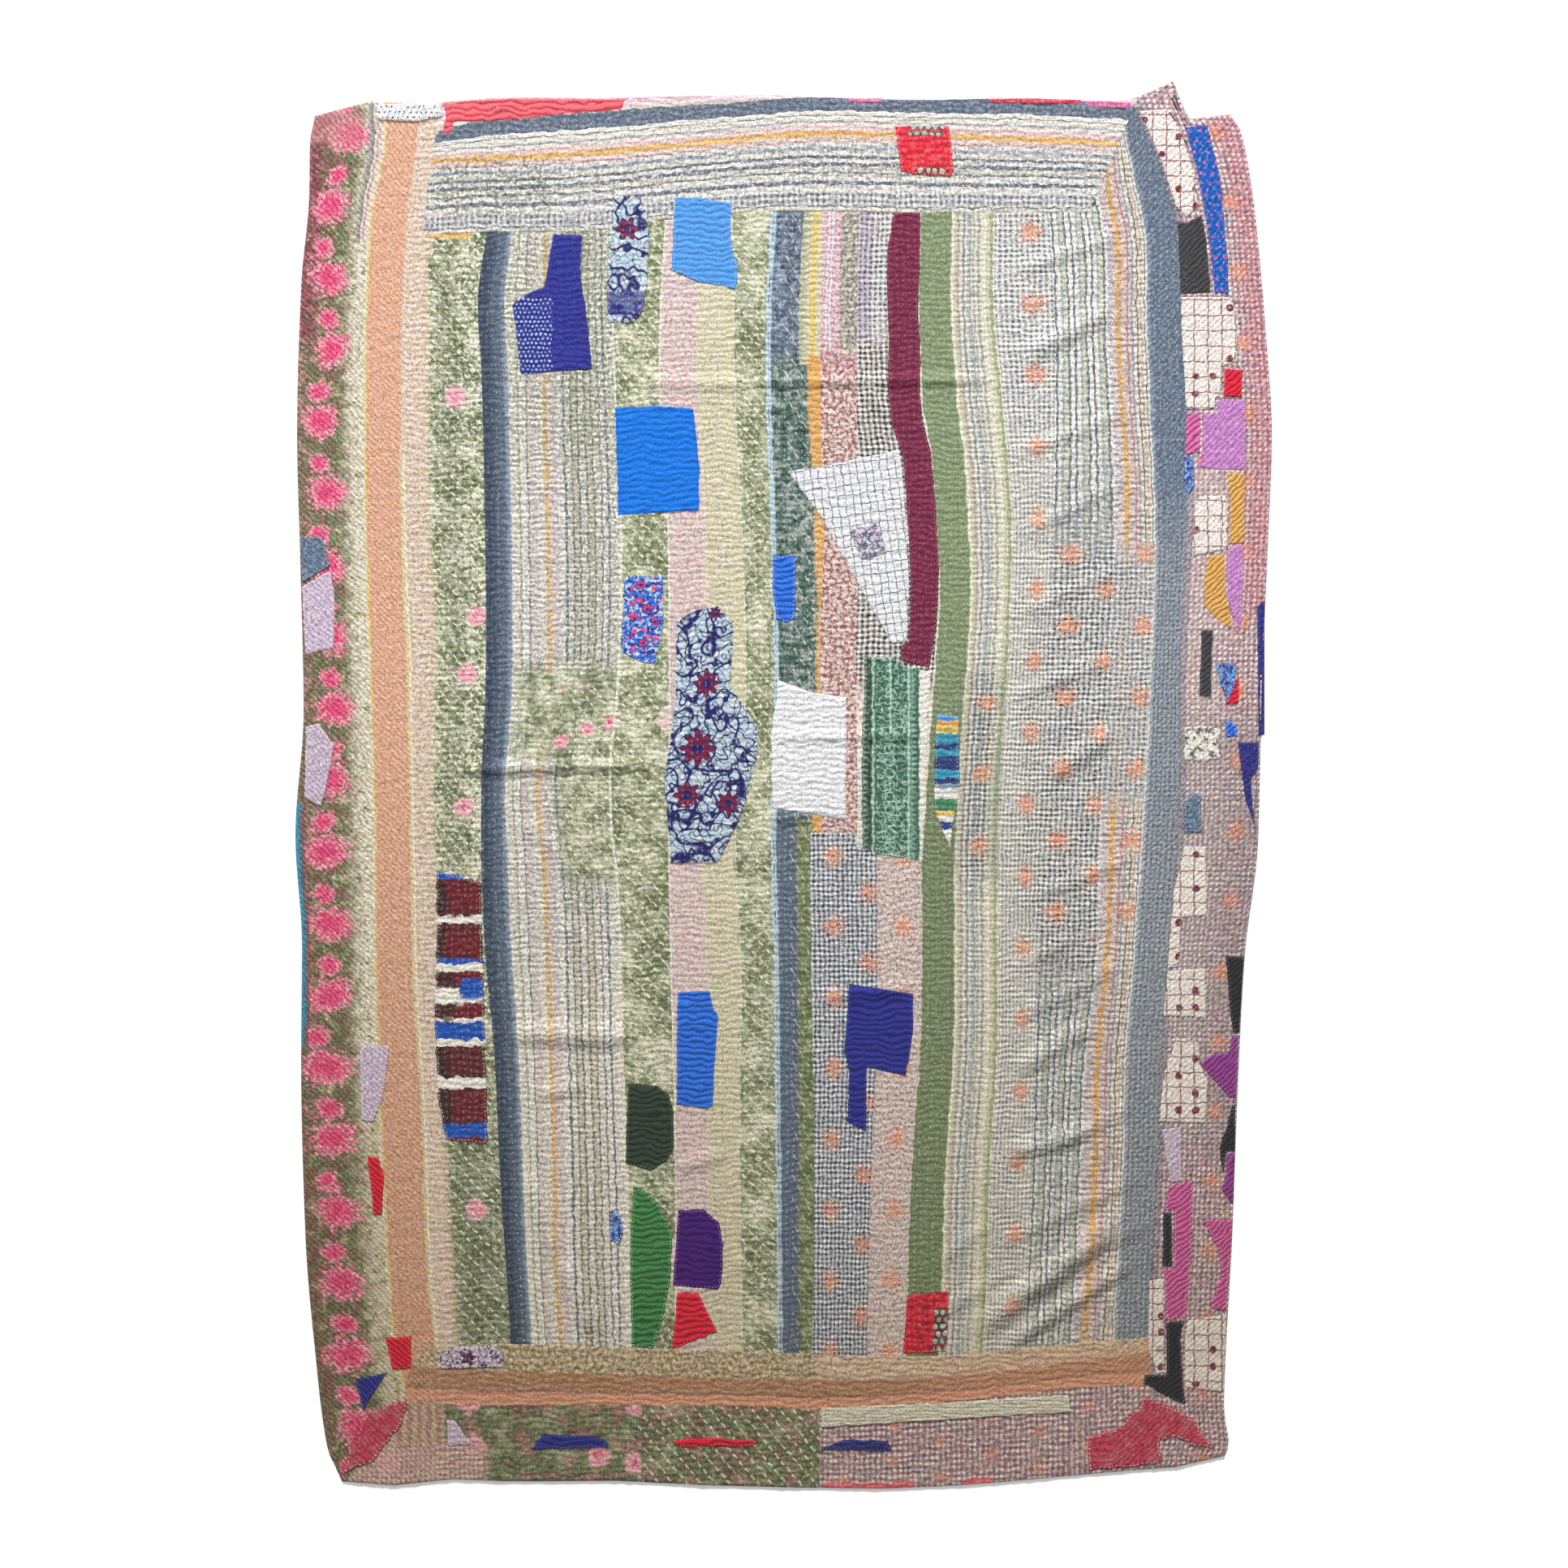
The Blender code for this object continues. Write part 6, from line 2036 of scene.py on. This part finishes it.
STRIPS = (
    Strip("face_thicket_left", THICKET_CLOTH, "printed_cotton", Run.DOWN, LEFT_SEAM, SLATE_LEFT,
        CENTRE_HEAD, CENTRE_FOOT, 0.0002),
    Strip("face_slate_left", SLATE_CLOTH, "quilted_cotton", Run.DOWN, SLATE_LEFT, MULTI_LEFT,
        CENTRE_HEAD, CENTRE_FOOT, 0.0006,
          0, 0),
    Strip("face_striped", MULTI_CLOTH, "quilted_cotton", Run.DOWN, MULTI_LEFT, OLIVE_LEFT, CENTRE_HEAD,
        CENTRE_FOOT, 0.0002),
    Strip("face_olive", OLIVE_CLOTH, "printed_cotton", Run.DOWN, OLIVE_LEFT, PINK_LEFT, CENTRE_HEAD,
        CENTRE_FOOT, 0.0006, 0, 0),
    Strip("face_pink_yellow", PINK_YELLOW_CLOTH, "quilted_cotton", Run.DOWN, PINK_LEFT, OLIVE_RIGHT,
        CENTRE_HEAD, CENTRE_FOOT,
          0.0002),
    Strip("face_olive_second", SECOND_OLIVE_CLOTH, "printed_cotton", Run.DOWN, OLIVE_RIGHT, SLATE_MID,
        CENTRE_HEAD, CENTRE_FOOT,
          0.0006, 0, 0),
    Strip("face_slate_middle", SLATE_MID_CLOTH, "quilted_cotton", Run.DOWN, SLATE_MID, PINK_MID,
        CENTRE_HEAD, CENTRE_FOOT, 0.0002),
    Strip("face_speckled", SPECKLE_CLOTH, "quilted_cotton", Run.DOWN, PINK_MID, CHECK_MID, CENTRE_HEAD,
        Line((900, 1045)), 0.0006,
          0, 0),
    Strip("face_grey_check", HOUNDSTOOTH_CLOTH, "quilted_cotton", Run.DOWN, CHECK_MID, GREEN_LEFT,
        CENTRE_HEAD, Line((900, 1062)),
          0.0002),
    Strip("face_star_middle", STARS_MID_CLOTH, "printed_cotton", Run.DOWN, STARS_MID,
        GREEN_LEFT.moved(2), Line((900, 1026)),
          CENTRE_FOOT, 0.0009, 0, 0),
    Strip("face_green_band", GREEN_CLOTH, "green_cotton", Run.DOWN, GREEN_LEFT, LINE_RIGHT, CENTRE_HEAD,
        CENTRE_FOOT, 0.0006,
          0, 0),
    Strip("face_star_right", STARS_RIGHT_CLOTH, "printed_cotton", Run.DOWN, LINE_RIGHT, BLUE_LEFT,
        CENTRE_HEAD, CENTRE_FOOT, 0.0002),
    Strip("face_blue_stripe", BLUE_STRIPE_CLOTH, "quilted_cotton", Run.DOWN, BLUE_LEFT, BLUE_RIGHT,
        CENTRE_HEAD, CENTRE_FOOT, 0.0006,
          0, 0),
    Strip("face_orange_line", EDGE_CLOTH, "quilted_cotton", Run.DOWN, BLUE_RIGHT, SLATE_RIGHT,
        MITRE_DOWN, CENTRE_FOOT, 0.0002),
    Strip("face_slate_right", SLATE_RIGHT_CLOTH, "quilted_cotton", Run.DOWN, SLATE_RIGHT, BORDER_RIGHT,
        MITRE_DOWN, CENTRE_FOOT,
          0.0006, 0, 3),
    Strip("border_roses", ROSE_CLOTH, "printed_cotton", Run.DOWN, LEFT, ROSE_EDGE, HEAD, FOOT, 0.0005,
        0, 3, 1.9, 2.8),
    Strip("border_peach", PEACH_CLOTH, "quilted_cotton", Run.DOWN, ROSE_EDGE, LEFT_SEAM, HEAD,
        FOOT_PEACH.moved(26), 0.0009, 0, 0,
          1.9, 2.8),
    Strip("border_right", RIGHT_CLOTH, "printed_cotton", Run.DOWN, BORDER_RIGHT, RIGHT, HEAD, FOOT,
        0.0009, 0, 0, 1.9, 3.1),
    Strip("border_head", HEAD_CLOTH, "quilted_cotton", Run.HEAD, HEAD, HEAD_SEAM, LEFT_SEAM.moved(-4),
        MITRE_ACROSS.moved(4), 0.0011, 0, 0),
    Strip("border_foot", FOOT_CLOTH, "quilted_cotton", Run.FOOT, FOOT_SPECKLE, FOOT_SEAM,
        Line((1640, 536), (1690, 505), (1735, 498)), Line((1600, 1418)),
          0.0012, 0, 3),
    Strip("border_foot_thicket", FOOT_LEAF_CLOTH, "printed_cotton", Run.FOOT, FOOT_SEAM, FOOT,
        ROSE_EDGE.moved(-4), Line((1600, 1010)),
          0.0014, 0, 0),
    Strip("border_foot_check", FOOT_CHECK_CLOTH, "printed_cotton", Run.FOOT, FOOT_SEAM, FOOT,
        Line((1600, 1004)), Line((1600, 1424)),
          0.0010, 0, 0),
)

PATCHES = (
    Patch("cloth_navy_angle", NAVY_SPOT_CLOTH, "navy_cotton", "patch_navy_angle", thread=Dye.SLATE),
    Patch("cloth_blossom_strip", BLOSSOM_CLOTH, "printed_cotton", "patch_blossom_strip", level=2),
    Patch("cloth_sky", SKY_CLOTH, "blue_cotton", "patch_sky"),
    Patch("cloth_bright_blue", BRIGHT_CLOTH, "blue_cotton", "patch_bright_blue", thread=Dye.BRIGHT_BLUE),
    Patch("cloth_small_flowers", SMALL_FLOWER_CLOTH, "printed_cotton", "patch_small_flowers"),
    Patch("cloth_pale_flowers", PALE_FLOWER_CLOTH, "printed_cotton", "patch_pale_flowers", level=2,
        thread=Dye.INK),
    Patch("cloth_blue_slip", TAB_CLOTH, "blue_cotton", "patch_blue_slip"),
    Patch("cloth_white_wedge", WEDGE_CLOTH, "white_cotton", "patch_white_wedge", turn=-8,
        thread=Dye.WHITE),
    Patch("cloth_maroon_strip", MAROON_CLOTH, "maroon_cotton", "patch_maroon_strip",
        thread=Dye.RUST_PINK),
    Patch("cloth_red_blossom", RED_FLOWER_CLOTH, "red_cotton", "patch_red_blossom", level=2),
    Patch("cloth_seersucker", SEERSUCKER_CLOTH, "white_cotton", "patch_white_seersucker",
        thread=Dye.WHITE, crumple=0.0016,
          step_across=2.2),
    Patch("cloth_green_band", GREEN_PRINT_CLOTH, "green_cotton", "patch_green_band"),
    Patch("cloth_bright_strip", SATIN_CLOTH, "printed_cotton", "patch_bright_strip", thread=Dye.IVORY),
    Patch("cloth_blue_tab", TAB_CLOTH, "blue_cotton", "patch_blue_tab", thread=Dye.SKY),
    Patch("cloth_navy_hook", NAVY_CLOTH, "navy_cotton", "patch_navy_hook", thread=Dye.SLATE),
    Patch("cloth_dark_green", DARK_GREEN_CLOTH, "green_cotton", "patch_dark_green", thread=Dye.OLIVE),
    Patch("cloth_green_leaf", LEAF_GREEN_CLOTH, "green_cotton", "patch_green_leaf", thread=Dye.MINT),
    Patch("cloth_purple", PURPLE_CLOTH, "purple_cotton", "patch_purple", thread=Dye.ORCHID),
    Patch("cloth_red_wedge", RED_CLOTH, "red_cotton", "patch_red_wedge", thread=Dye.CORAL),
    Patch("cloth_bar_stack", BAR_CLOTH, "maroon_cotton", "patch_bar_stack", ragged=1.4),
    Patch("cloth_red_square", RED_HEX_CLOTH, "red_cotton", "patch_red_square", thread=Dye.CORAL),
    Patch("cloth_lilac_upper", LILAC_CLOTH, "lilac_cotton", "patch_lilac_upper", thread=Dye.WHITE),
    Patch("cloth_coral_band", CORAL_CLOTH, "red_cotton", "patch_coral_band", thread=Dye.CORAL),
    Patch("cloth_grey", GREY_CLOTH, "black_cotton", "patch_grey", thread=Dye.GREY),
    Patch("cloth_blue_band", BLUE_BAND_CLOTH, "blue_cotton", "patch_blue_band", thread=Dye.PINK,
        run=Run.DOWN),
    Patch("cloth_orchid", ORCHID_CLOTH, "lilac_cotton", "patch_orchid", thread=Dye.PALE_ROSE),
    Patch("cloth_mustard", MUSTARD_CLOTH, "mustard_cotton", "patch_mustard", thread=Dye.YELLOW),
    Patch("cloth_pink_strip", PINK_CLOTH, "pink_cotton", "patch_pink_strip", thread=Dye.PALE_ROSE),
    Patch("cloth_black_foot", BLACK_CLOTH, "black_cotton", "patch_black_foot", thread=Dye.GREY),
    Patch("small_lilac_wedge", LILAC_SPRIG_CLOTH, "lilac_cotton", "",
        ((1047, 655), (1080, 644), (1093, 682), (1061, 690)), 3),
    Patch("small_navy_flowers", BLUE_FLOWER_CLOTH, "printed_cotton", "",
          ((751, 1491), (761, 1490), (769, 1514), (764, 1533), (752, 1528))),
    Patch("small_lilac_leaves", LILAC_LEAF_CLOTH, "lilac_cotton", "",
          ((541, 1668), (563, 1658), (610, 1656), (622, 1672), (620, 1684), (539, 1685)), 2),
    Patch("small_slate_left", SLATE_PATCH_CLOTH, "blue_cotton", "",
        ((371, 663), (398, 661), (408, 698), (373, 718)), 2),
    Patch("small_lilac_left", LILAC_CLOTH, "lilac_cotton", "",
          ((378, 895), (394, 891), (412, 918), (408, 945), (397, 994), (376, 983)), 2),
    Patch("small_lilac_band", LILAC_CLOTH, "lilac_cotton", "",
        ((444, 1288), (480, 1288), (475, 1341), (461, 1382), (446, 1380)), 2),
    Patch("small_red_slip", RED_CLOTH, "red_cotton", "",
          ((454, 1424), (467, 1425), (474, 1447), (471, 1495), (461, 1496)), 2, thread=Dye.CORAL),
    Patch("small_red_left", RED_CLOTH, "red_cotton", "",
        ((476, 1647), (507, 1646), (507, 1685), (484, 1686)), 2, thread=Dye.CORAL),
    Patch("small_navy_corner", NAVY_CLOTH, "navy_cotton", "",
          ((439, 1698), (460, 1694), (478, 1690), (462, 1713), (448, 1736)), 2, thread=Dye.SLATE),
    Patch("small_red_corner", FADED_RED_CLOTH, "red_cotton", "",
          ((424, 1815), (429, 1782), (457, 1736), (503, 1726), (498, 1750), (462, 1797)), 3, ragged=3),
    Patch("small_white_dots", WHITE_DOT_CLOTH, "white_cotton", "",
          ((463, 131), (500, 129), (542, 129), (546, 145), (513, 151), (466, 149)), 3),
    Patch("small_panes_head", PANE_CLOTH, "printed_cotton", "",
          ((1403, 138), (1436, 136), (1455, 165), (1467, 205), (1476, 255), (1461, 268), (1449, 258),
              (1433, 208), (1416, 165)), 2),
    Patch("small_panes_upper", PANE_CLOTH, "printed_cotton", "",
          ((1454, 367), (1513, 367), (1524, 388), (1523, 446), (1505, 452), (1503, 488), (1497, 491),
              (1496, 505), (1461, 505),
           (1457, 440)), 2),
    Patch("small_panes_second", PANE_CLOTH, "printed_cotton", "",
          ((1473, 613), (1511, 611), (1512, 676), (1489, 682), (1468, 686), (1470, 645)), 2),
    Patch("small_panes_third", PANE_CLOTH, "printed_cotton", "",
          ((1459, 1043), (1484, 1043), (1486, 1127), (1456, 1130), (1452, 1190), (1438, 1192),
              (1446, 1095)), 2),
    Patch("small_panes_fourth", PANE_CLOTH, "printed_cotton", "",
        ((1438, 1196), (1484, 1193), (1484, 1253), (1433, 1251)), 2),
    Patch("small_panes_fifth", PANE_CLOTH, "printed_cotton", "",
          ((1449, 1278), (1475, 1283), (1477, 1310), (1487, 1331), (1484, 1383), (1428, 1381),
              (1433, 1323)), 2),
    Patch("small_panes_foot", PANE_CLOTH, "printed_cotton", "",
          ((1463, 1626), (1510, 1618), (1508, 1714), (1460, 1708), (1459, 1650)), 2),
    Patch("small_panes_slim", PANE_CLOTH, "printed_cotton", "",
          ((1416, 1577), (1432, 1574), (1434, 1690), (1425, 1692), (1414, 1660)), 2),
    Patch("small_head_red", FADED_RED_CLOTH, "red_cotton", "",
        ((1217, 123), (1275, 122), (1332, 124), (1330, 130), (1220, 129)), 1,
          thread=Dye.CORAL),
    Patch("small_head_lilac", ORCHID_CLOTH, "lilac_cotton", "",
        ((1334, 125), (1392, 127), (1394, 136), (1340, 133)), 1),
    Patch("small_head_second", ORCHID_CLOTH, "lilac_cotton", "",
        ((1045, 122), (1087, 121), (1086, 128), (1047, 128)), 1),
    Patch("small_blue_left", BLUE_FLOWER_CLOTH, "printed_cotton", "",
        ((1459, 562), (1468, 560), (1471, 598), (1463, 614), (1458, 592)), 2),
    Patch("small_red_right", RED_CLOTH, "red_cotton", "",
        ((1508, 455), (1530, 457), (1529, 490), (1507, 489)), 2, thread=Dye.CORAL),
    Patch("small_pink_upper", PINK_CLOTH, "pink_cotton", "",
        ((1461, 509), (1479, 509), (1477, 557), (1460, 561)), 2),
    Patch("small_mustard", MUSTARD_CLOTH, "mustard_cotton", "",
          ((1511, 584), (1533, 583), (1532, 669), (1515, 670), (1514, 615)), 2),
    Patch("small_orchid", ORCHID_CLOTH, "lilac_cotton", "",
          ((1514, 673), (1532, 673), (1529, 765), (1523, 781), (1512, 735), (1511, 690)), 2),
    Patch("small_brown", GREY_CLOTH, "black_cotton", "",
        ((1480, 777), (1493, 777), (1491, 858), (1477, 857)), 3, thread=Dye.GREY),
    Patch("small_red_bits", RED_CLOTH, "red_cotton", "",
        ((1512, 838), (1526, 836), (1525, 866), (1510, 868)), 2, thread=Dye.CORAL),
    Patch("small_blue_flowers", BLUE_FLOWER_CLOTH, "printed_cotton", "",
          ((1497, 817), (1522, 817), (1520, 848), (1510, 866)), 3),
    Patch("small_blue_bit", TAB_CLOTH, "blue_cotton", "",
        ((1508, 889), (1522, 892), (1523, 907), (1511, 909)), 2),
    Patch("small_mottled", MOTTLED_CLOTH, "printed_cotton", "",
          ((1459, 897), (1481, 894), (1502, 898), (1502, 935), (1480, 938), (1459, 936)), 2),
    Patch("small_navy_edge", DARK_BLUE_CLOTH, "navy_cotton", "",
          ((1524, 915), (1550, 915), (1549, 945), (1540, 960), (1545, 1018), (1534, 985)), 2,
              thread=Dye.SLATE),
    Patch("small_navy_line", DARK_BLUE_CLOTH, "navy_cotton", "",
        ((1548, 747), (1558, 741), (1558, 905), (1550, 907)), 2,
          thread=Dye.SLATE),
    Patch("small_blue_right", SLATE_PATCH_CLOTH, "blue_cotton", "",
          ((1458, 990), (1465, 979), (1479, 978), (1480, 1026), (1458, 1025)), 2),
    Patch("small_black_right", BLACK_CLOTH, "black_cotton", "",
          ((1510, 1178), (1532, 1178), (1526, 1272), (1518, 1272), (1513, 1226)), 2, thread=Dye.GREY),
    Patch("small_violet_side", VIOLET_CLOTH, "purple_cotton", "",
          ((1517, 1276), (1525, 1276), (1522, 1353), (1512, 1350), (1477, 1309), (1496, 1299),
              (1514, 1296)), 2,
          thread=Dye.ORCHID),
    Patch("small_black_second", BLACK_CLOTH, "black_cotton", "",
          ((1517, 1361), (1521, 1360), (1521, 1418), (1510, 1418), (1507, 1446), (1502, 1414),
              (1512, 1384)), 2,
          thread=Dye.GREY),
    Patch("small_violet_third", VIOLET_CLOTH, "purple_cotton", "",
          ((1512, 1421), (1521, 1421), (1519, 1485), (1504, 1464), (1510, 1448)), 2, thread=Dye.ORCHID),
    Patch("small_lilac_right", LILAC_CLOTH, "lilac_cotton", "",
        ((1431, 1391), (1454, 1388), (1455, 1455), (1441, 1456)), 2),
    Patch("small_black_slim", BLACK_CLOTH, "black_cotton", "",
          ((1433, 1494), (1443, 1494), (1443, 1559), (1432, 1559)), 2, thread=Dye.GREY),
    Patch("small_pink_right", PINK_CLOTH, "pink_cotton", "",
          ((1482, 1501), (1518, 1503), (1510, 1614), (1490, 1610), (1505, 1566), (1500, 1538),
              (1489, 1518)), 2,
          thread=Dye.PALE_ROSE),
    Patch("small_red_foot", FADED_RED_CLOTH, "red_cotton", "",
          ((1410, 1719), (1440, 1730), (1470, 1750), (1496, 1783), (1480, 1782), (1441, 1766),
              (1428, 1774), (1431, 1801),
           (1380, 1807), (1342, 1810), (1340, 1768), (1378, 1758), (1400, 1735)), 3, ragged=3),
    Patch("small_leaf_navy", NAVY_CLOTH, "navy_cotton", "",
          ((655, 1784), (669, 1766), (737, 1769), (751, 1777), (749, 1782)), 3, thread=Dye.SLATE),
    Patch("small_leaf_red", RED_CLOTH, "red_cotton", "",
          ((827, 1774), (858, 1769), (934, 1774), (928, 1780), (838, 1781)), 3, thread=Dye.CORAL),
    Patch("small_leaf_second", DARK_BLUE_CLOTH, "navy_cotton", "",
        ((1008, 1785), (1039, 1772), (1093, 1774), (1099, 1786)), 3,
          thread=Dye.SLATE),
    Patch("small_pink_bit", LILAC_CLOTH, "lilac_cotton", "",
        ((551, 1748), (561, 1748), (575, 1770), (587, 1778), (553, 1780)), 3),
    Patch("small_pale_stripes", PALE_STRIPE_CLOTH, "quilted_cotton", "",
          ((1012, 1733), (1160, 1727), (1316, 1717), (1319, 1738), (1160, 1748), (1012, 1757)), 3),
)


class Quilt:
    """The whole quilt: its back, its pieced face, its patches and the sewing on it."""

    def build(self) -> None:
        """Builds every piece."""
        Back().build(BACK_CLOTH)
        for strip in STRIPS:
            strip.build()
        sewing = {dye: Needlework(f"stitches_{dye.name.lower()}",
            dye) for dye in {patch.thread for patch in PATCHES}}
        for patch in PATCHES:
            patch.build()
            sewing[patch.thread].round_patch(patch.outline(), patch.level)
        rows = sewing[Dye.ECRU]
        rows.rows(SLATE_LEFT.moved(12), MULTI_LEFT, 285, 1655, 10.0, 11.0)
        rows.rows(SLATE_RIGHT.moved(4), BORDER_RIGHT, 300, 1640, 9.0, 11.0)
        rows.rows(GREEN_LEFT.moved(4), GREEN_LEFT.moved(42), 275, 1655, 11.0, 13.0)
        for dye in sorted(sewing, key=lambda dye: dye.name):
            sewing[dye].build()


class Studio:
    """The pale sheet that the quilt lies on, the soft light over it, and the camera straight above."""

    middle_pixel = (966.0, 966.0)
    picture_pixels = 1932.0
    lens = 50.0
    sensor = 36.0

    def light(self) -> None:
        """A pale sky and one large soft sun from the head of the quilt."""
        world = bpy.context.scene.world or bpy.data.worlds.new("studio")
        bpy.context.scene.world = world
        world.use_nodes = True
        background = world.node_tree.nodes["Background"]
        background.inputs[0].default_value = (1.0, 1.0, 1.0, 1.0)
        background.inputs[1].default_value = 0.56
        sun = bpy.data.lights.new("window", "SUN")
        sun.energy = 4.5
        sun.angle = math.radians(10)
        lamp = bpy.data.objects.new("window", sun)
        lamp.rotation_euler = Vector((-0.12, 0.86, 0.46)).to_track_quat("Z", "Y").to_euler()
        bpy.context.scene.collection.objects.link(lamp)
        bpy.context.scene.view_settings.view_transform = "Standard"

    def lay_floor(self) -> None:
        """A wide white floor."""
        mesh = bpy.data.meshes.new("floor")
        mesh.from_pydata([(-40, -40, 0), (40, -40, 0), (40, 40, 0), (-40, 40, 0)], [], [(0, 1, 2, 3)])
        floor = bpy.data.objects.new("floor", mesh)
        bpy.context.scene.collection.objects.link(floor)
        white = bpy.data.materials.new("floor")
        white.use_nodes = True
        white.node_tree.nodes["Principled BSDF"].inputs["Base Color"].default_value = (0.95, 0.95, 0.95,
            1.0)
        white.node_tree.nodes["Principled BSDF"].inputs["Roughness"].default_value = 0.9
        mesh.materials.append(white)

    def place_camera(self) -> None:
        """A camera over the middle of the picture, with the quilt's head at the top."""
        camera = bpy.data.objects.new("camera", bpy.data.cameras.new("camera"))
        camera.data.lens, camera.data.sensor_width = self.lens, self.sensor
        x, y = LAYOUT.metres(*self.middle_pixel)
        camera.location = (x, y, self.picture_pixels * LAYOUT.pixel * self.lens / self.sensor)
        bpy.context.scene.collection.objects.link(camera)
        bpy.context.scene.camera = camera


def main() -> None:
    """Builds the quilt and its studio."""
    logging.basicConfig(level=logging.INFO, format="%(message)s")
    Quilt().build()
    studio = Studio()
    studio.lay_floor()
    studio.light()
    studio.place_camera()


if __name__ == "__main__":
    main()
